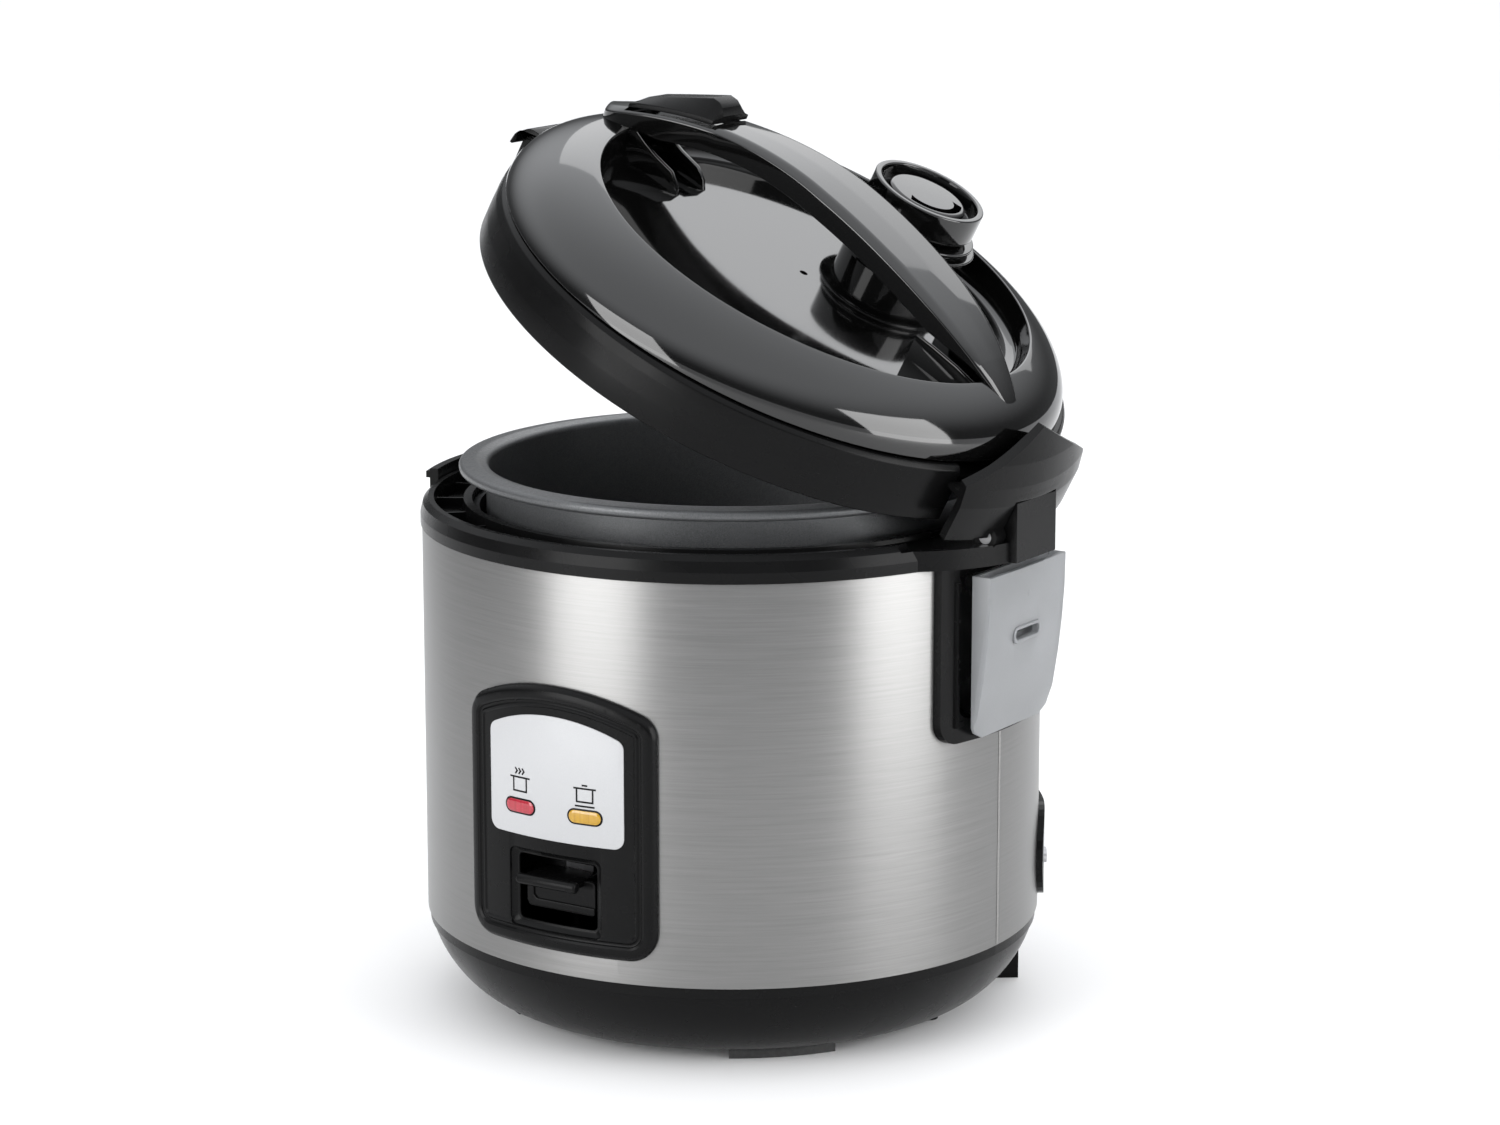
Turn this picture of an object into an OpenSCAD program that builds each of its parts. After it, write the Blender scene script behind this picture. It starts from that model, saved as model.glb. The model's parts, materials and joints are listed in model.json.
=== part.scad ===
// Electric rice cooker with a hinged, latching lid, a lift-out pot and a cook lever.
// Origin: on the body axis, at the plane of the feet. +Z up, control panel towards -Y,
// lid hinge towards +X. The lid is modelled shut and then swung open by lid_open.

/* [Body] */
// Outer radius of the steel shell
shell_r = 118; // [116:0.5:120]
// Height of the joint between base and shell
shell_low_z = 35.8; // [34:0.2:37]
// Height of the joint between shell and top ring
shell_high_z = 186; // [184:0.5:188]
// Height of the top ring's rim
ring_z = 196; // [195:0.5:196.5]
// Thickness of the steel shell
shell_t = 0.8; // [0.6:0.1:1]

/* [Pot] */
// Outer radius of the pot's wall
pot_r = 93.5; // [92:0.5:94]
// Outer radius of the pot's flange
flange_r = 104; // [102:0.5:104]
// Height of the pot's rim above the floor
pot_top_z = 210; // [206:1:210]
// Height of the heating plate's face
plate_z = 82; // [80:1:84]

/* [Lid] */
// Angle by which the lid stands open
lid_open = 27.7; // [0:0.1:80]
// Distance of the hinge axis from the body axis
hinge_x = 123; // [122:0.5:124]
// Height of the hinge axis
hinge_z = 196; // [195.5:0.5:196.5]
// Outer radius of the lid's gloss dome
dome_r = 112.5; // [111.8:0.1:112.6]
// Height of the dome above its edge
dome_rise = 27; // [26:0.5:27.5]
// Radius of the round recess under the handle
recess_r = 87; // [86:0.5:87]

/* [Controls] */
// Height of the lever bar's middle
lever_z = 71; // [70:0.5:72]
// Half width of the lever window
window_half = 20; // [18:1:21]
// Height of the two signal lenses
lens_z = 97.8; // [96:0.2:99]

/* [Hidden] */
$fn = 96;
gap = 0.3;
eps = 0.02;
fit_gap = 0.05;
wall = 2.4;

// base
base_floor_z = 4;
base_foot_r = 91;
base_top_r = 117;
// lid dome, set back a little from the body axis
dome_edge_z = 220;
dome_x = -1.5;
recess_x = 3;
recess_floor_z = 230;
// hinge
pin_r = 2.5;
knuckle_half = 14.5;
knuckle_x0 = 114;
knuckle_x1 = 132;
knuckle_top_z = 208;
ear_y0 = 15;
ear_y1 = 22;
ear_r = 4.6;
bump_x = 71;
bump_r = 60;
bump_top_z = 193.5;
// azimuths, counted from the front (-Y) towards the hinge side (+X)
inlet_az = 126;
apron_half_az = 20.5;
skirt_gap_az = 18.3;
// inner works
chamber_r = 97;
chamber_floor_z = 64;
bracket_z = 54;
pivot_y = -50;
pivot_z = 56;
vent_x = 7.4;
vent_y = 59.2;
spring_x = -72;
apron_top_z = 235.5;
latch_x = -114;
latch_z = 213;
inlet_z = 56;

// ---------- helpers ----------

// turns children so that their +X points to an azimuth counted from the front
module at_azimuth(a) rotate([0, 0, a - 90]) children();

module tube(r_out, r_in, z0, z1) translate([0, 0, z0]) difference() {
    cylinder(r = r_out, h = z1 - z0);
    translate([0, 0, -1]) cylinder(r = r_in, h = z1 - z0 + 2);
}

module disc(r, z0, z1) translate([0, 0, z0]) cylinder(r = r, h = z1 - z0);

module block(x0, x1, y0, y1, z0, z1) translate([x0, y0, z0]) cube([x1 - x0, y1 - y0, z1 - z0]);

// a bar of radius r along Y through (x, z)
module y_bar(x, z, r, y0, y1) translate([x, y0, z]) rotate([-90, 0, 0]) cylinder(r = r, h = y1 - y0);

// a bar of radius r along X through (y, z)
module x_bar(y, z, r, x0, x1) translate([x0, y, z]) rotate([0, 90, 0]) cylinder(r = r, h = x1 - x0);

// extrudes an (x, z) outline along Y
module side_plate(y0, y1) translate([0, y1, 0]) rotate([90, 0, 0]) linear_extrude(y1 - y0) children();

// extrudes a (y, z) outline along X
module front_plate(x0, x1) translate([x0, 0, 0]) rotate([90, 0, 90]) linear_extrude(x1 - x0) children();

// a wedge of space of half angle half_az about azimuth a, out to radius r
module wedge(a, half_az, r, z0, z1) at_azimuth(a) translate([0, 0, z0]) linear_extrude(z1 - z0)
    polygon([[0, 0], [r, -r * tan(half_az)], [r, r * tan(half_az)]]);

// swings a piece of the lid from its shut place to its open place
module opened() translate([hinge_x, 0, hinge_z]) rotate([0, lid_open, 0])
    translate([-hinge_x, 0, -hinge_z]) children();

function arc(cx, cy, r, a0, a1, n = 8) = [for (i = [0:n])
    [cx + r * cos(a0 + (a1 - a0) * i / n), cy + r * sin(a0 + (a1 - a0) * i / n)]];

// an outline with round lower corners, round upper corners and an arched top
function arched(half, low, side, mid, r_top, r_low) =
    let (arch_r = (half * half + (mid - side) * (mid - side)) / (2 * (mid - side)),
         arch_y = mid - arch_r,
         corner_y = arch_y + sqrt(pow(arch_r - r_top, 2) - pow(half - r_top, 2)),
         turn = atan2(corner_y - arch_y, half - r_top))
    concat(arc(half - r_low, low + r_low, r_low, -90, 0),
           arc(half - r_top, corner_y, r_top, 0, turn),
           arc(0, arch_y, arch_r, turn, 180 - turn, 14),
           arc(-(half - r_top), corner_y, r_top, 180 - turn, 180),
           arc(-(half - r_low), low + r_low, r_low, 180, 270));

function round_rect(half_w, half_h, r) =
    concat(arc(half_w - r, half_h - r, r, 0, 90), arc(-half_w + r, half_h - r, r, 90, 180),
           arc(-half_w + r, -half_h + r, r, 180, 270), arc(half_w - r, -half_h + r, r, 270, 360));

// one turn-by-turn coil of round wire about +Z, from z0 to z1
module coil(r, wire_r, turns, z0, z1, steps = 20, sides = 6) {
    rings = turns * steps;
    points = [for (i = [0:rings]) let (a = 360 * i / steps, z = z0 + (z1 - z0) * i / rings)
        for (k = [0:sides - 1]) let (w = 360 * k / sides)
        [(r + wire_r * cos(w)) * cos(a), (r + wire_r * cos(w)) * sin(a), z + wire_r * sin(w)]];
    walls = [for (i = [0:rings - 1]) for (k = [0:sides - 1]) let (n = (k + 1) % sides)
        [i * sides + k, (i + 1) * sides + k, (i + 1) * sides + n, i * sides + n]];
    start = [for (k = [0:sides - 1]) k];
    end = [for (k = [sides - 1:-1:0]) rings * sides + k];
    polyhedron(points, concat(walls, [start, end]), convexity = 10);
}

module screw(head_r, shank_r, length) {
    difference() {
        cylinder(r = head_r, h = 2);
        translate([-head_r, -0.4, -1]) cube([2 * head_r, 0.8, 1.8]);
    }
    cylinder(r = shank_r, h = length);
}

// ---------- base ----------

// bowl outline: r and z of the outer skin, moved in by t
function bowl(t) = [for (a = [0:7.5:90])
    [base_foot_r - t + (base_top_r - base_foot_r) * pow(cos(a), 1.25),
     shell_low_z - 0.4 - (shell_low_z - 0.4 - base_floor_z - t) * pow(sin(a), 1.25)]];

leg_az = [30, 150, 270];
leg_r = 74;
foot_az = [45, 225, 315];
rear_foot_az = 135;

module base_pan() color("#1b1b1c") {
    skin_in = bowl(wall);
    difference() {
        union() {
            rotate_extrude() polygon(concat([[0, base_floor_z]],
                [for (i = [len(bowl(0)) - 1:-1:0]) bowl(0)[i]],
                [[base_top_r, shell_low_z], [base_top_r - wall, shell_low_z]], skin_in,
                [[0, base_floor_z + wall]]));
            // collar that the shell stands on and is centred by
            tube(shell_r - shell_t - 0.1, shell_r - shell_t - 2.2, shell_low_z - 4, shell_low_z + 5);
            for (a = leg_az) at_azimuth(a) translate([leg_r, 0, base_floor_z + 1]) cylinder(r = 6, h = 7);
            // small round boss under the hinge side
            at_azimuth(90) translate([88, 0, 2]) cylinder(r = 4, h = 4);
        }
        for (a = leg_az) at_azimuth(a) translate([leg_r, 0, 0]) {
            cylinder(r = 2.2, h = 20);
            cylinder(r = 4.4, h = base_floor_z + 3);
        }
        // cooling slots
        for (a = [0:20:340]) at_azimuth(a + 10) block(34, 56, -1.6, 1.6, 0, 10);
    }
}

module foot_pads() color("#161617")
    for (a = foot_az) intersection() {
        tube(90, 62, 0, base_floor_z);
        wedge(a, 13, 120, 0, base_floor_z);
    }

module rear_foot() color("#161617") difference() {
    intersection() {
        tube(112, 84, 0, 24);
        wedge(rear_foot_az, 8.5, 130, 0, 24);
    }
    rotate_extrude() polygon(concat([[0, base_floor_z]],
        [for (i = [len(bowl(0)) - 1:-1:0]) bowl(0)[i]], [[base_top_r, 60], [0, 60]]));
}

// ---------- shell and top ring ----------

module outer_shell() color("#b9babb") difference() {
    union() {
        tube(shell_r, shell_r - shell_t, shell_low_z, shell_high_z);
        // lap seam under the collector
        intersection() {
            tube(shell_r + 0.4, shell_r - shell_t, shell_low_z, shell_high_z);
            wedge(90, 0.45, 130, shell_low_z, shell_high_z);
        }
    }
    // lever window and lens slot
    block(-24, 24, -125, -100, 47, 84);
    block(-24, 24, -125, -100, 91, 105);
    // collector recess
    block(100, 125, -32.5, 32.5, 125.5, shell_high_z + 1);
    at_azimuth(inlet_az) {
        block(100, 125, -15.5, 15.5, inlet_z - 11.5, inlet_z + 11.5);
        for (y = [-19.5, 19.5]) x_bar(y, inlet_z, 1.9, 100, 130);
    }
}

lug_r = 119.5;
module top_ring() color("#202022") difference() {
    union() {
        rotate_extrude() polygon([[shell_r + 0.6, shell_high_z], [shell_r + 0.6, shell_high_z + 4],
            [shell_r - 0.4, ring_z - 2], [shell_r - 2.4, ring_z], [shell_r - 4.5, ring_z],
            [shell_r - 5.5, ring_z - 7], [103.2, ring_z - 7], [102.2, ring_z - 1], [99, ring_z - 1],
            [99, shell_high_z - 2], [101, shell_high_z - 2], [101, shell_high_z + 0.6],
            [shell_r - shell_t - 2, shell_high_z + 0.6], [shell_r - shell_t - 2, shell_high_z - 5],
            [shell_r - shell_t - 0.1, shell_high_z - 5], [shell_r - shell_t - 0.1, shell_high_z]]);
        // radial ribs across the channel
        for (a = [0:15:345]) at_azimuth(a) block(102, shell_r - 5, -0.7, 0.7, ring_z - 8, ring_z - 3.5);
        // latch lug
        intersection() {
            union() {
                tube(lug_r, 116.2, shell_high_z, 200);
                tube(lug_r + 1.5, 118, 196.5, 199);
            }
            wedge(270, 21, 130, shell_high_z, 210);
        }
        // hinge housing
        difference() {
            intersection() {
                translate([bump_x, 0, shell_high_z]) cylinder(r = bump_r, h = bump_top_z - shell_high_z);
                block(90, 140, -48, 48, 180, 200);
            }
            disc(103, 180, 200);
        }
        block(knuckle_x0, knuckle_x1, -knuckle_half, knuckle_half, shell_high_z, knuckle_top_z);
    }
    // rear of the rim is lowered where the lid's apron swings
    difference() {
        block(104, 140, -52, 52, bump_top_z, 215);
        block(knuckle_x0 - eps, 140, -knuckle_half, knuckle_half, 180, 215);
    }
    // hollow of the knuckle, pockets for the lid's ears, bore for the pin
    block(knuckle_x0 - 1, knuckle_x1 - 2, -12, 12, 189, knuckle_top_z - 2);
    for (s = [-1, 1])
        y_bar(hinge_x, hinge_z, ear_r + gap, min(s * 14.55, s * 22.5), max(s * 14.55, s * 22.5));
    y_bar(hinge_x, hinge_z, pin_r, -20, 20);
    // vertical grooves that part the housing from the ring
    for (s = [-1, 1]) translate([bump_x + 38.5, s * 44.2, 180]) cylinder(r = 1.1, h = 30);
}

module hinge_pin() color("#c8c8c8") y_bar(hinge_x, hinge_z, pin_r, -22, 22);

module hinge_springs() color("#9a9a9a")
    for (s = [-1, 1]) translate([hinge_x, s * 6, hinge_z]) rotate([90, 0, 0])
        coil(4.1, 0.7, 5, -4.2, 4.2, 20, 6);

// ---------- chamber and heating ----------

module inner_chamber() color("#8f9092") difference() {
    union() {
        tube(chamber_r, chamber_r - 0.8, chamber_floor_z, 192);
        tube(98.9, chamber_r - 0.8, 191.2, 192);
        tube(chamber_r, 68, chamber_floor_z, chamber_floor_z + 0.8);
    }
    for (a = leg_az) at_azimuth(a) translate([leg_r, 0, 40]) cylinder(r = 5, h = 40);
}

module keep_warm_band() color("#b08a4a") {
    tube(98.2, chamber_r + eps, 118, 146);
    at_azimuth(200) block(98, 101, -6, 6, 128, 136);
}

module heating_plate() color("#c3c4c6") difference() {
    rotate_extrude() polygon([[17.2, 69], [84, 69], [86, 71], [86, 78], [82, plate_z],
        [17.2, plate_z]]);
    // groove for the tubular element
    translate([0, 0, 67.5]) rotate_extrude() translate([60, 0]) circle(r = 4.05);
}

module heating_element() color("#77797c") {
    translate([0, 0, 67.5]) rotate_extrude() translate([60, 0]) circle(r = 4);
    for (a = [190, 215]) at_azimuth(a) translate([60, 0, 56]) cylinder(r = 1.6, h = 11);
}

module plate_legs() color("#a8a9ab")
    for (a = leg_az) at_azimuth(a) translate([leg_r, 0, 12]) difference() {
        cylinder(r = 4.4, h = 57);
        translate([0, 0, -1]) cylinder(r = 1.7, h = 16);
    }

module base_screws() color("#b5b6b8")
    for (a = leg_az) at_azimuth(a) translate([leg_r, 0, base_floor_z + 1]) screw(3.6, 1.7, 16);

// ---------- thermostat ----------

module thermostat_bracket() color("#9c9da0") {
    difference() {
        disc(26, bracket_z, bracket_z + 2);
        disc(3.2, 40, 60);
    }
    for (a = [0, 120, 240]) at_azimuth(a) translate([23, 0, bracket_z + 1])
        cylinder(r = 2, h = 13.98);
}

module sensor_cup() color("#cfd0d2") {
    tube(15.5, 14.3, 60, plate_z - eps);
    disc(15.5, 80.6, plate_z);
    tube(17, 14.3, 60, 61);
}

module ferrite_disc() color("#4a4a4c") disc(9, 78.8, 80.6);

module sensor_spring() color("#9a9a9a") coil(11.6, 0.7, 6, bracket_z + 2.8, 79.8, 20, 6);

module magnet_rod() color("#a9aaac") {
    disc(3.1, 44, 63.8);
    disc(5.5, 44, 46);
}

module rod_magnet() color("#3a3a3c") disc(9, 63.8, 68.2);

// ---------- cook lever and its linkage ----------

module rocker_bracket() color("#a3a4a6") difference() {
    union() {
        for (s = [-1, 1]) block(s * 9 - 0.8, s * 9 + 0.8, pivot_y - 9, pivot_y + 9, 6.4, pivot_z + 6);
        block(-9.8, 9.8, pivot_y - 9, pivot_y + 9, 6.4, 8);
    }
    x_bar(pivot_y, pivot_z, 1.5, -20, 20);
}

module rocker_pin() color("#c8c8c8") x_bar(pivot_y, pivot_z, 1.5, -11, 11);

arm_y = -103;
module rocker_arm() color("#b0b1b3") difference() {
    union() {
        front_plate(-6, 6) polygon([[arm_y, 66], [arm_y, 74], [arm_y + 2.5, 74], [arm_y + 2.5, 62],
            [-60, 60], [pivot_y, pivot_z + 4.5], [pivot_y + 6, pivot_z + 1], [-33, 44.6], [-30, 43.6],
            [1, 43.6], [1, 41.6], [-32, 41.6], [-38, 44], [pivot_y, pivot_z - 4.5], [-60, 57.5],
            [arm_y + 2.5, 59.5], [arm_y, 61.5]]);
    }
    x_bar(pivot_y, pivot_z, 1.5 + fit_gap, -20, 20);
}

lever_y = -121.5;
module cook_lever() color("#232325") {
    // bar that a finger presses
    x_bar(lever_y, lever_z, 2.1, -14, 11);
    for (x = [-14, 11]) translate([x, lever_y, lever_z]) sphere(r = 2.1, $fn = 32);
    block(-13, 10, lever_y, -104, lever_z - 1.2, lever_z + 1.2);
    // flap behind the bar, with a raised edge
    block(-15, 15, -115.6, -114, 59.5, lever_z);
    difference() {
        block(-15, 15, -117, -115.6, 59.5, lever_z);
        block(-12, 16, -118, -115, 62.5, lever_z + 1);
    }
    // shank clipped over the arm
    block(-7.5, 7.5, -116, arm_y - eps, 66.5, lever_z + 1.2);
}

module microswitch() color("#2d2f33") {
    block(10.6, 17, -86, -66, 30, 42);
    block(12.6, 15, -74, -71, 42, 44.5);
    for (y = [-84, -76, -68]) block(13.4, 14.2, y - 1.5, y + 1.5, 23, 30);
    block(9.9, 10.6, -80, -50, 26, 36);
}

module thermal_fuse() color("#d9d4c6") at_azimuth(60) {
    x_bar(0, 65.4, 2, 34, 48);
    x_bar(0, 65.4, 0.6, 26, 55.8);
    block(38, 44, -3, 3, 67.3, 69);
}

module terminal_block() color("#e6e3da") at_azimuth(inlet_az) difference() {
    block(52, 70, -18, 18, 6.4, 20);
    for (y = [-12, 0, 12]) translate([61, y, 12]) cylinder(r = 2.4, h = 20);
}

// ---------- front panel ----------

// keeps what lies between two radii of the body
module between(r_in, r_out) intersection() {
    tube(r_out, r_in, 30, 200);
    children();
}

module panel_plate(half, low, side, mid, r_top, r_low) side_plate(-130, -100)
    polygon(arched(half, low, side, mid, r_top, r_low));

window_low_z = 52;
window_high_z = 82;
module window_block(grow, y0, y1) side_plate(y0, y1) translate([0, (window_low_z + window_high_z) / 2])
    polygon(round_rect(window_half + grow, (window_high_z - window_low_z) / 2 + grow, 3 + grow));

module lens_shape(x, grow) side_plate(-130, -100) translate([x, lens_z])
    polygon(round_rect(6.4 + grow, 2.35 + grow, 2.3 + grow));

module panel_frame() color("#1d1d1f") difference() {
    union() {
        between(shell_r + eps, shell_r + 2.2) panel_plate(41, 45, 134, 144.5, 9, 10);
        // raised rim
        difference() {
            between(shell_r + eps, shell_r + 3.6) panel_plate(39.6, 46.4, 133, 143, 8, 9);
            between(shell_r + 1.6, shell_r + 6) panel_plate(33.5, 51, 130, 138.5, 6, 6);
        }
        between(shell_r + eps, shell_r + 2.4) panel_plate(34, 50.5, 130.5, 139, 6, 6);
        // sleeve that lines the lever window
        between(shell_r - 9, shell_r + 2.4) window_block(1.6, -130, -100);
    }
    window_block(0, -135, -90);
    // way for the lever's flap
    block(-17.5, 17.5, -shell_r - 0.2, -100, 48, 60);
    for (x = [-14, 14]) lens_shape(x, 0.02);
}

module panel_label() color("#e4e6e9") difference() {
    between(shell_r + 2.4 + eps, shell_r + 2.9) panel_plate(29, 87, 126.5, 133.5, 4, 4);
    for (x = [-14, 14]) lens_shape(x, 0.8);
}

module lens_red() color("#c8263c") between(shell_r - 3, shell_r + 3.4) lens_shape(-14, 0);

module lens_amber() color("#d8a31c") between(shell_r - 3, shell_r + 3.4) lens_shape(14, 0);

module indicator_lamps() color("#e8c9a8")
    for (x = [-14, 14]) translate([x, -108.5, lens_z - 4]) cylinder(r = 2, h = 8);

module lamp_holder() color("#efefef") difference() {
    block(-22, 22, -112.5, -105, lens_z - 6, lens_z + 6);
    for (x = [-14, 14]) block(x - 4, x + 4, -113, -106, lens_z - 4.2, lens_z + 4.2);
}

// ---------- mains inlet ----------

module inlet_socket() color("#1a1a1c") at_azimuth(inlet_az) difference() {
    union() {
        intersection() {
            front_plate(shell_r - 6, shell_r + 3) translate([0, inlet_z]) polygon(round_rect(26, 18, 17.8));
            translate([0, 0, 20]) cylinder(r = shell_r + 2.4, h = 80);
        }
        block(99, 119, -14.8, 14.8, inlet_z - 10.8, inlet_z + 10.8);
    }
    // hollow that takes the plug
    front_plate(101, 130) translate([0, inlet_z]) polygon([[-12.2, -8], [12.2, -8], [12.2, 3.5],
        [8, 8], [-8, 8], [-12.2, 3.5]]);
    difference() {
        tube(shell_r + eps, 90, inlet_z - 30, inlet_z + 30);
        block(99, 119.4, -14.8, 14.8, inlet_z - 10.8, inlet_z + 10.8);
    }
    for (y = [-19.5, 19.5]) x_bar(y, inlet_z, 1.6, 100, 130);
    for (y = [-19.5, 19.5]) x_bar(y, inlet_z, 3.2, shell_r - 0.4, 130);
    for (p = [[-7, -2], [7, -2], [0, 2]])
        block(90, 110, p[0] - 1, p[0] + 1, inlet_z + p[1] - 2, inlet_z + p[1] + 2);
}

module inlet_pins() color("#cfd0d2") at_azimuth(inlet_az)
    for (p = [[-7, -2], [7, -2], [0, 2]])
        block(97.4, 114, p[0] - 1, p[0] + 1, inlet_z + p[1] - 2, inlet_z + p[1] + 2);

module inlet_screws() color("#b5b6b8") at_azimuth(inlet_az)
    for (y = [-19.5, 19.5]) translate([shell_r - 0.38, y, inlet_z]) rotate([0, -90, 0])
        translate([0, 0, -2]) screw(3, 1.6, 10);

// ---------- condensate collector ----------

collector_half = 28;
bracket_half = 38.5;
bracket_low_z = 120;
tray_half = 32;
hollow_z = 126;

module collector_bracket() color("#19191b") difference() {
    union() {
        between(shell_r + eps, shell_r + 3) front_plate(90, 140)
            polygon(concat([[bracket_half, shell_high_z - eps], [-bracket_half, shell_high_z - eps]],
                arc(-bracket_half + 8, bracket_low_z + 8, 8, 180, 270),
                arc(bracket_half - 8, bracket_low_z + 8, 8, 270, 360)));
        // tray let into the shell
        block(109, 111, -tray_half, tray_half, hollow_z, 180);
        for (s = [-1, 1]) block(109, shell_r, s * (tray_half - 0.8) - 0.8, s * (tray_half - 0.8) + 0.8,
            hollow_z, 180);
        block(109, shell_r, -tray_half, tray_half, hollow_z, hollow_z + 2);
    }
    front_plate(111, 140) polygon(concat([[30, shell_high_z + 1], [-30, shell_high_z + 1]],
        arc(-24, hollow_z + 8.5, 6, 180, 270), arc(24, hollow_z + 8.5, 6, 270, 360)));
}

// side outlines of the cup and of its hollow
cup_side = [[121.4, 121], [122.4, 121], [124.4, 131], [126.8, 145], [128.4, 158], [129.4, 170],
    [129.8, 182.5], [121.4, 182.5]];
cup_hollow = [[122.8, 134], [123.4, 134], [125.2, 145], [126.8, 158], [127.8, 170], [128.2, 190],
    [122.8, 190]];

module collector_cup() color([0.85, 0.87, 0.9, 0.6]) difference() {
    union() {
        side_plate(-collector_half, collector_half) polygon(cup_side);
        // rim around the slot
        block(127.4, 129.4, -10.4, 10.4, 153.8, 161.2);
    }
    side_plate(-collector_half + 1.5, collector_half - 1.5) polygon(cup_hollow);
    block(110, 140, -8.4, 8.4, 155.8, 159.2);
}

// ---------- pot ----------

module inner_pot() color("#3c3d40") rotate_extrude() difference() {
    polygon(concat([[0, plate_z + 0.1]], arc(pot_r - 14, plate_z + 14.1, 14, -90, 0),
        [[pot_r, pot_top_z - 5], [flange_r - 2, pot_top_z - 4.5], [flange_r, pot_top_z - 3.2],
         [flange_r, pot_top_z - 1.4], [flange_r - 1.2, pot_top_z - 0.4], [pot_r + 1, pot_top_z],
         [0, pot_top_z]]));
    polygon(concat([[0, plate_z + 2]], arc(pot_r - 15.9, plate_z + 16, 14, -90, 0),
        [[pot_r - 1.9, pot_top_z - 3], [pot_r - 0.8, pot_top_z + 1], [0, pot_top_z + 1]]));
}

// ---------- lid ----------

// outline of the dome's upper surface
function cap(r, rise) = [for (t = [90:-7.5:0]) [r * sqrt(sin(t)), dome_edge_z + rise * cos(t)]];

// everything below the dome's surface, down to z_low
module under_cap(r, rise, z_low) translate([dome_x, 0, 0]) rotate_extrude()
    polygon(concat([[0, z_low]], z_low < dome_edge_z ? [[r, z_low]] : [], cap(r, rise)));

module lid_skirt() opened() color("#232426") difference() {
    union() {
        rotate_extrude() polygon([[115.2, 197], [115.2, 206], [114.9, 214], [114.3, 218], [112.9, 219.4],
            [110.6, 219.4], [111.6, 217], [112.2, 213], [112.4, 206], [112.6, 197.6]]);
        // hood over the latch hook
        intersection() {
            block(-131, -112.4, -13, 13, 206, 219.4);
            translate([-112, 0, 206]) rotate([90, 0, 0]) cylinder(r = 18.6, h = 40, center = true);
        }
    }
    wedge(90, skirt_gap_az, 140, 190, 230);
    block(-127.6, -109, -10.5, 10.5, 190, 217.6);
}

// the apron's gable and its leaning wall
apron_gable = [[-54, 190], [54, 190], [54, 214], [45, 217.5], [0, apron_top_z], [-45, 217.5], [-54, 214]];
apron_wall = [[126, 196.3], [126, 210], [124.6, 217], [121.5, 225], [117.5, 232], [115.2, 236],
    [112.4, 236], [114.5, 231], [118.6, 223.5], [121.2, 217], [121.6, 214.5], [115.6, 214.5],
    [115.6, 212.5], [122.8, 212.5], [122.8, 196.3]];

module lid_apron() opened() color("#222325") difference() {
    union() {
        intersection() {
            rotate_extrude() polygon(apron_wall);
            wedge(90, apron_half_az, 140, 190, 240);
            front_plate(100, 140) polygon(apron_gable);
        }
        for (s = [-1, 1]) intersection() {
            union() {
                y_bar(hinge_x, hinge_z, ear_r, -ear_y1, ear_y1);
                block(118.4, 123.5, -ear_y1, ear_y1, hinge_z, 213);
            }
            block(100, 140, min(s * ear_y0, s * ear_y1), max(s * ear_y0, s * ear_y1), 180, 230);
        }
    }
    // slot that swings past the knuckle
    intersection() {
        y_bar(hinge_x, hinge_z, 15.5, -15, 15);
        block(100, 150, -15, 15, 170, 230);
    }
    y_bar(hinge_x, hinge_z, pin_r + fit_gap, -30, 30);
    // the skirt's rim passes inside
    tube(119.2, 100, 190, 212.4);
}

// what stands in the recess: the peg's boss, fins at the front and gussets at the rear
module recess_ribs() {
    block(-91, -79, -8, 8, 200, 241);
    for (s = [-1, 1]) side_plate(s * 9 - 1, s * 9 + 1) polygon([[-86, 210], [-86, 243], [-82, 243],
        [-70, 238.5], [-61, 237], [-54, recess_floor_z], [-54, 210]]);
    for (s = [-1, 1]) side_plate(s * 8 - 1, s * 8 + 1) polygon([[92, 210], [92, 237], [77.5, 238.5],
        [58, 240], [58, 210]]);
}

module lid_dome() opened() color("#0d0d0e") difference() {
    union() {
        difference() {
            union() {
                difference() {
                    under_cap(dome_r, dome_rise, dome_edge_z);
                    under_cap(dome_r - wall, dome_rise - wall, dome_edge_z - 10);
                }
                // foot that seats in the skirt
                translate([dome_x, 0, 0]) tube(108.8, 106.6, 214.7, 227);
                // wall and floor of the recess
                intersection() {
                    under_cap(dome_r - 0.5, dome_rise - 0.5, 225);
                    translate([recess_x, 0, 0]) disc(recess_r + wall, recess_floor_z - wall, 260);
                }
            }
            difference() {
                translate([recess_x, 0, 0]) disc(recess_r, recess_floor_z, 260);
                recess_ribs();
            }
        }
        // stepped tower that the steam vent plugs into
        translate([vent_x, vent_y, 0]) {
            disc(21.5, 217, 248.2);
            disc(26, 243.2, 245);
            disc(24.3, 246.6, 248.2);
        }
    }
    translate([vent_x, vent_y, 200]) cylinder(r = 14.3, h = 60);
    translate([2, 0, 200]) cylinder(r = 1.6, h = 40);
    // slot for the release peg, and room for the latch
    block(-87.4, -82.6, -3.4, 3.4, 200, 250);
    block(-130, -100, -10.6, 10.6, 210, 218.6);
}

// top and underside of the handle, and half its width, as functions of x
function handle_top(x) = x < -8 ? 269 - 27.5 * pow((-8 - x) / 95, 2)
    : 269 - 21.5 * pow((x + 8) / 100, 1.7) - 5.5 * pow((x + 8) / 100, 6);
function handle_low(x) = x < -10 ? 257.8 - 9 * pow((-10 - x) / 50, 2) : handle_top(x) - 11.2;
function handle_half(x) = x < 5 ? 18.5 - 5 * pow(min(1, (5 - x) / 55), 1.1)
    : 18.5 * pow(1 - pow((x - 5) / 100, 3), 0.75);
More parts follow.
